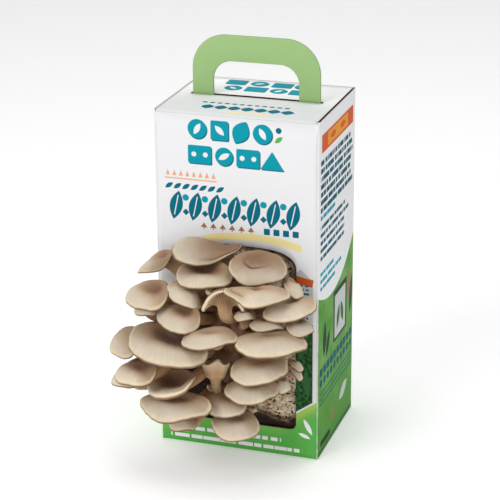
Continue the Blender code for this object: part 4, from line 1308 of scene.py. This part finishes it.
def makeHandle(h):
    # the loop: a flat band whose section is a thin box with round edges, carried from foot to foot
    steps = (10, 24, 10, 24, 10)
    outer = handleEdge(h["half"], h["top"], h["outer"], h["foot"], steps)
    inner = handleEdge(h["half"] - h["leg"], h["top"] - h["grip"], h["inner"], h["foot"], steps)
    r, half = h["edge"], h["board"] / 2
    corners = zip(((r, half - r), (-r, half - r), (-r, r - half), (r, r - half)), (180, 90, 0, -90))
    section = np.concatenate([arc(centre, r, start, start - 90, 4) for centre, start in corners])
    width = np.hypot(*(inner - outer).T)[:, None]
    fromOuter = np.repeat([True, False, True], (5, 10, 5))
    place = np.where(fromOuter, section[:, 0], width + section[:, 0])
    flat = outer[:, None] + place[..., None] * ((inner - outer) / width)[:, None]
    band = gridPoints(flat[..., 0], section[:, 1], flat[..., 1])
    rows, columns = place.shape
    ring = np.arange(columns)[None]
    faces = [gridFaces(0, rows, columns)[:, ::-1], ring, (rows - 1) * columns + ring[:, ::-1]]
    loop = newPiece("handleLoop", band * mm, faces)
    setAttribute(loop, "edge", np.tile(np.clip(1 - abs(section[:, 0]) / r, 0, 1) ** 0.5, rows))
    loop.data.materials.append(handleBoard)

    # below the lid: the shoulder between the legs, folded back to the rear wall and down as a hem,
    # with painted shade on its faces where the slot shows them
    path = np.concatenate([
        [[-0.4, 233.2], [-0.4, 235.0], [-0.4, 237.0]], arc((0.8, 238.7), 1.2, 180, 90, 6),
        np.linspace((4, 239.9), (41.2, 239.9), 12), arc((41.3, 238.4), 1.5, 90, 0, 6),
        [[42.8, 234], [42.8, 227]]])
    x = np.linspace(-h["flapHalf"], h["flapHalf"], 24)
    points, faces = turnedOver(strip(x, path))
    flap = newPiece("handleFlap", points * mm, [faces])
    setAttribute(flap, "edge", np.zeros(len(points)))
    for finish in (handleBoard, paintedShadeEdge):
        flap.data.materials.append(finish)
    inSlot = np.repeat((path[:-1, 1] > 238) & (path[:-1, 0] < 7), len(x) - 1)
    flap.data.polygons.foreach_set("material_index", inSlot.astype(np.int32))
    thicken(flap, h["flapBoard"])
    return loop, flap


bagSet = {
    "half": 56.0, "low": 2.0, "high": 199.0, "front": -43.2, "back": 44.0,
    "edge": 7.0,  # radius of its long edges
    "film": 0.45,
    "mouth": ((-43.0, 28.5), (40.5, 148.0)),
    "corner": 8.0,
    "lip": 0.85,  # radius of the roll along the mouth
}


def bagMouth(b, perSide):
    # a rounded box whose lower edge sags to the right and whose upper edge follows the window's arch
    mouth = roundedBox(*b["mouth"], b["corner"], perSide)
    mouth[:, 1] += smoothStep(-mouth[:, 1], -60, -40) * (4.0 - 5.4 * smoothStep(mouth[:, 0], 8, 34))
    upper = smoothStep(mouth[:, 1], 100, 140)
    mouth[:, 1] -= 0.62 * upper * windowSet["rise"] * (mouth[:, 0] / windowSet["half"]) ** 2
    mouth[:, 0] -= 1.2 * upper * smoothStep(mouth[:, 0], 20, 38)
    return mouth


def makeBag(b):
    # one film: from the rolled lip of its mouth over the front, back along the sides and closed behind
    perSide = (50, 70)
    half, front, back, edge = b["half"], b["front"], b["back"], b["edge"]
    mouth = bagMouth(b, perSide)
    middle = mouth.mean(0)
    outwards = unit(mouth - middle)
    border = roundedBox((edge - half, b["low"] + edge), (half - edge, b["high"] - edge), 1.0, perSide)
    side = roundedBox((-half, b["low"]), (half, b["high"]), 6.0, perSide)
    count = len(mouth)
    wobble = 0.5 * np.sin(np.arange(count) * 0.21) + 0.35 * np.sin(np.arange(count) * 0.53 + 1)
    rings = []  # each a ring's outline and its depth
    for a in np.radians([200, 160, 120, 80, 40, 10]):
        roll = 1.2 + 0.4 * wobble[:, None] + 1.2 * b["lip"] * np.cos(a)
        rings.append((mouth + outwards * roll, front + 0.35 - b["lip"] * np.sin(a)))
    for w in np.linspace(0.04, 1, 9) ** 1.4:
        depth = front + 0.3 * (1 - w) + 0.25 * wobble * (1 - w) + 0.1 * np.sin(4 * math.pi * w)
        rings.append(((1 - w) * (mouth + outwards * 2.2) + w * border, depth))
    for a in np.radians([20, 45, 70]):
        rings.append((border + (side - border) * math.sin(a), front + edge * (1 - math.cos(a))))
    rings += [(side, depth) for depth in np.linspace(front + edge, back - edge, 14)]
    for a in np.radians([30, 60, 90]):
        rings.append((border + (side - border) * math.cos(a), back - edge * (1 - math.sin(a))))
    rings += [(middle + (border - middle) * w, back) for w in (0.6, 0.2)]
    grid = np.stack([np.stack(np.broadcast_arrays(flat[:, 0], y, flat[:, 1]), 1) for flat, y in rings])
    crinkle = valueNoise(grid / 9.0 + 40, 1.0, 5) - 0.5
    grid[6:-3, :, 1] += 0.5 * crinkle[6:-3] * (grid[6:-3, :, 1] < front + 1)
    points = np.concatenate([grid.reshape(-1, 3), [[middle[0], back, middle[1]]]])
    last = (len(rings) - 1) * count + np.arange(count)
    faces = [gridFaces(0, len(rings), count), fan(last, len(points) - 1)]
    piece = newPiece("growBagFilm", points * mm, faces)
    lipRings = np.zeros(len(rings))
    lipRings[:8] = [1, 1, 1, 1, 1, 1, 0.5, 0.15]
    setAttribute(piece, "lip", np.concatenate([np.repeat(lipRings, count), [0.0]]))
    piece.data.materials.append(bagFilm)
    thicken(piece, b["film"])
    return piece


blockSet = {
    "half": 54.0, "low": 4.0, "high": 197.0, "front": -41.2, "back": 42.0,
    "edge": 7.0,
    # levels of the front's grid, and the steps between them: finest where the window shows it
    "across": ((-54.0, 12, 44, 54.0), (49, 85, 7)),
    "up": ((4.0, 26, 82, 122, 154, 197.0), (11, 149, 39, 79, 19)),
}


def gradedLevels(levels, steps):
    parts = [np.linspace(a, b, n + 1) for a, b, n in zip(levels[:-1], levels[1:], steps)]
    return np.unique(np.round(np.concatenate(parts), 4))


def blockRelief(x, z):
    # soft lumps, which fade out behind the cluster's foot
    c, h = growth["footCentre"], growth["footHalf"]
    spread = np.hypot((x - c[0]) / h[0], (z - c[2]) / h[2])
    fade = np.clip(2.5 * (spread - 1.3), 0, 1)
    waves = np.sin(0.21 * x + 1.3) * np.cos(0.17 * z) + np.sin(0.34 * z + 0.19 * x)
    return 0.7 * fade * (0.5 * waves + 0.35 * np.sin(0.71 * x - 0.53 * z))


def makeBlock(b):
    # the front is a rough grid whose edges round back; the sides are rings that go on from its edge
    half, low, high, back = b["half"], b["low"], b["high"], b["back"]
    x, z = np.meshgrid(gradedLevels(*b["across"]), gradedLevels(*b["up"]))
    inside = np.stack([x + half, half - x, z - low, high - z]).min(0)
    e = np.clip(1 - inside / b["edge"], 0, 1)
    place = np.stack([x, 0 * x + 7.0, z], -1)
    grades = ((5.0, 1), (1.7, 2), (0.8, 3))
    coarse, grain, fine = (valueNoise(place + 100, size, seed) - 0.5 for size, seed in grades)
    bend = np.stack([valueNoise(place + 50, 4.0, 7), 0 * x, valueNoise(place + 50, 4.0, 8)], -1) * 5
    cracksAndShade = 1 - np.clip(abs(valueNoise(place + bend + 100, 6.5, 4) - 0.5) / 0.03, 0, 1)
    cracksAndShade = cracksAndShade * smoothStep(valueNoise(place + 300, 9.0, 9), 0.3, 0.6)
    pits = smoothStep(valueNoise(place + bend * 0.4 + 200, 1.3, 6), 0.68, 0.8)
    openings = np.maximum(cracksAndShade, 0.8 * pits)
    rough = 0.9 * coarse + 0.7 * grain + 0.5 * fine - 0.7 * openings
    y = b["front"] + b["edge"] * (1 - np.sqrt(1 - e * e)) - (blockRelief(x, z) * 0.7 + rough) * (1 - e)
    front = np.stack([x, y, z], -1).reshape(-1, 3)
    rows, columns = x.shape
    ids = np.arange(rows * columns).reshape(rows, columns)
    ring = np.concatenate([ids[0, :-1], ids[:-1, -1], ids[-1, :0:-1], ids[:0:-1, 0]])
    edgeX, edgeZ = front[ring, 0], front[ring, 2]
    middle = (low + high) / 2
    depths = [(1, depth) for depth in np.linspace(b["front"] + 8, back - 3, 8)]
    depths += [(0.97, back - 1), (0.93, back), (0.4, back)]
    backs = [gridPoints(edgeX * shrink, depth, middle + (edgeZ - middle) * shrink)
             for shrink, depth in depths]
    table = np.concatenate([ring, len(front) + np.arange(len(backs) * len(ring))]).reshape(-1, len(ring))
    nextOne = np.roll(table, -1, 1)
    walls = np.stack([table[:-1], table[1:], nextOne[1:], nextOne[:-1]], -1).reshape(-1, 4)
    points = np.concatenate([front, *backs, [[0, back, middle]]])
    faces = [gridFaces(0, rows, columns, closed=False)[:, ::-1], walls, fan(table[-1], len(points) - 1)]
    piece = newPiece("growingBlockMass", points * mm, faces)
    # painted shade: dark as well where the block is deep in shade, at the bottom left and at the right end of
    # the arch
    shaded = 0.85 * smoothStep(-x, -20, -4) * smoothStep(-z, -150, -120)
    shaded = np.maximum(shaded, 0.5 * smoothStep(x, 28, 38) * smoothStep(z, 116, 130))
    behind = np.zeros(len(points) - len(front))
    setAttribute(piece, "cracksAndShade", np.concatenate([np.maximum(openings, shaded).ravel(), behind]))
    setAttribute(piece, "grain", np.concatenate([(grain + 0.6 * fine + 0.5).ravel(), behind + 0.5]))
    piece.data.materials.append(sawdustMass)
    return piece


def makeFoot(g):
    # half an ellipsoid with lumps, its lowest ring just inside the block
    columns = 180
    turn = np.arange(columns) * 2 * math.pi / columns
    lift = np.radians(np.concatenate([[-8], np.linspace(-2, 88, 46)]))[:, None]
    centre, half = np.array(g["footCentre"], float), np.array(g["footHalf"], float)
    way = gridPoints(np.cos(lift) * np.cos(turn), -np.sin(lift), np.cos(lift) * np.sin(turn))
    place = way * half + 60
    lumps = 2.6 * (valueNoise(place, 7.5, 11) - 0.5) + 1.1 * (valueNoise(place, 2.6, 12) - 0.5)
    points = np.concatenate([centre + way * (half + lumps[:, None]), [centre - (0, half[1], 0)]])
    last = len(way) - columns + np.arange(columns)
    faces = [gridFaces(0, len(lift), columns)[:, ::-1], fan(last, len(way)), np.arange(columns)[None]]
    piece = newPiece("clusterFoot", points * mm, faces)
    piece.data.materials.append(footFlesh)
    return piece


def settle(pieces, node):
    for piece in pieces:
        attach(piece, "root")
        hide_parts(node)


caps = [makeMushroom(m, f"oysterCap{m.number:02d}") for m in mushrooms]
for m, cap in zip(mushrooms, caps):
    settle([cap], f"mushroom_{m.number:02d}")
settle([makeMushroom(m, f"oysterBud{m.number:02d}") for m in buds], "cluster_base")
print("mushrooms grown:", sum(len(cap.data.vertices) for cap in caps), "points")
settle([makeCarton(cartonSet, windowSet), *makeBottom(cartonSet)], "carton_body")
settle([makeLid(cartonSet)], "carton_lid")
settle(makeHandle(handleSet), "carry_handle")
print("carton folded")
settle([makeBag(bagSet)], "grow_bag")
settle([makeBlock(blockSet)], "growing_block")
settle([makeFoot(growth)], "cluster_base")
print("block bagged and seated")
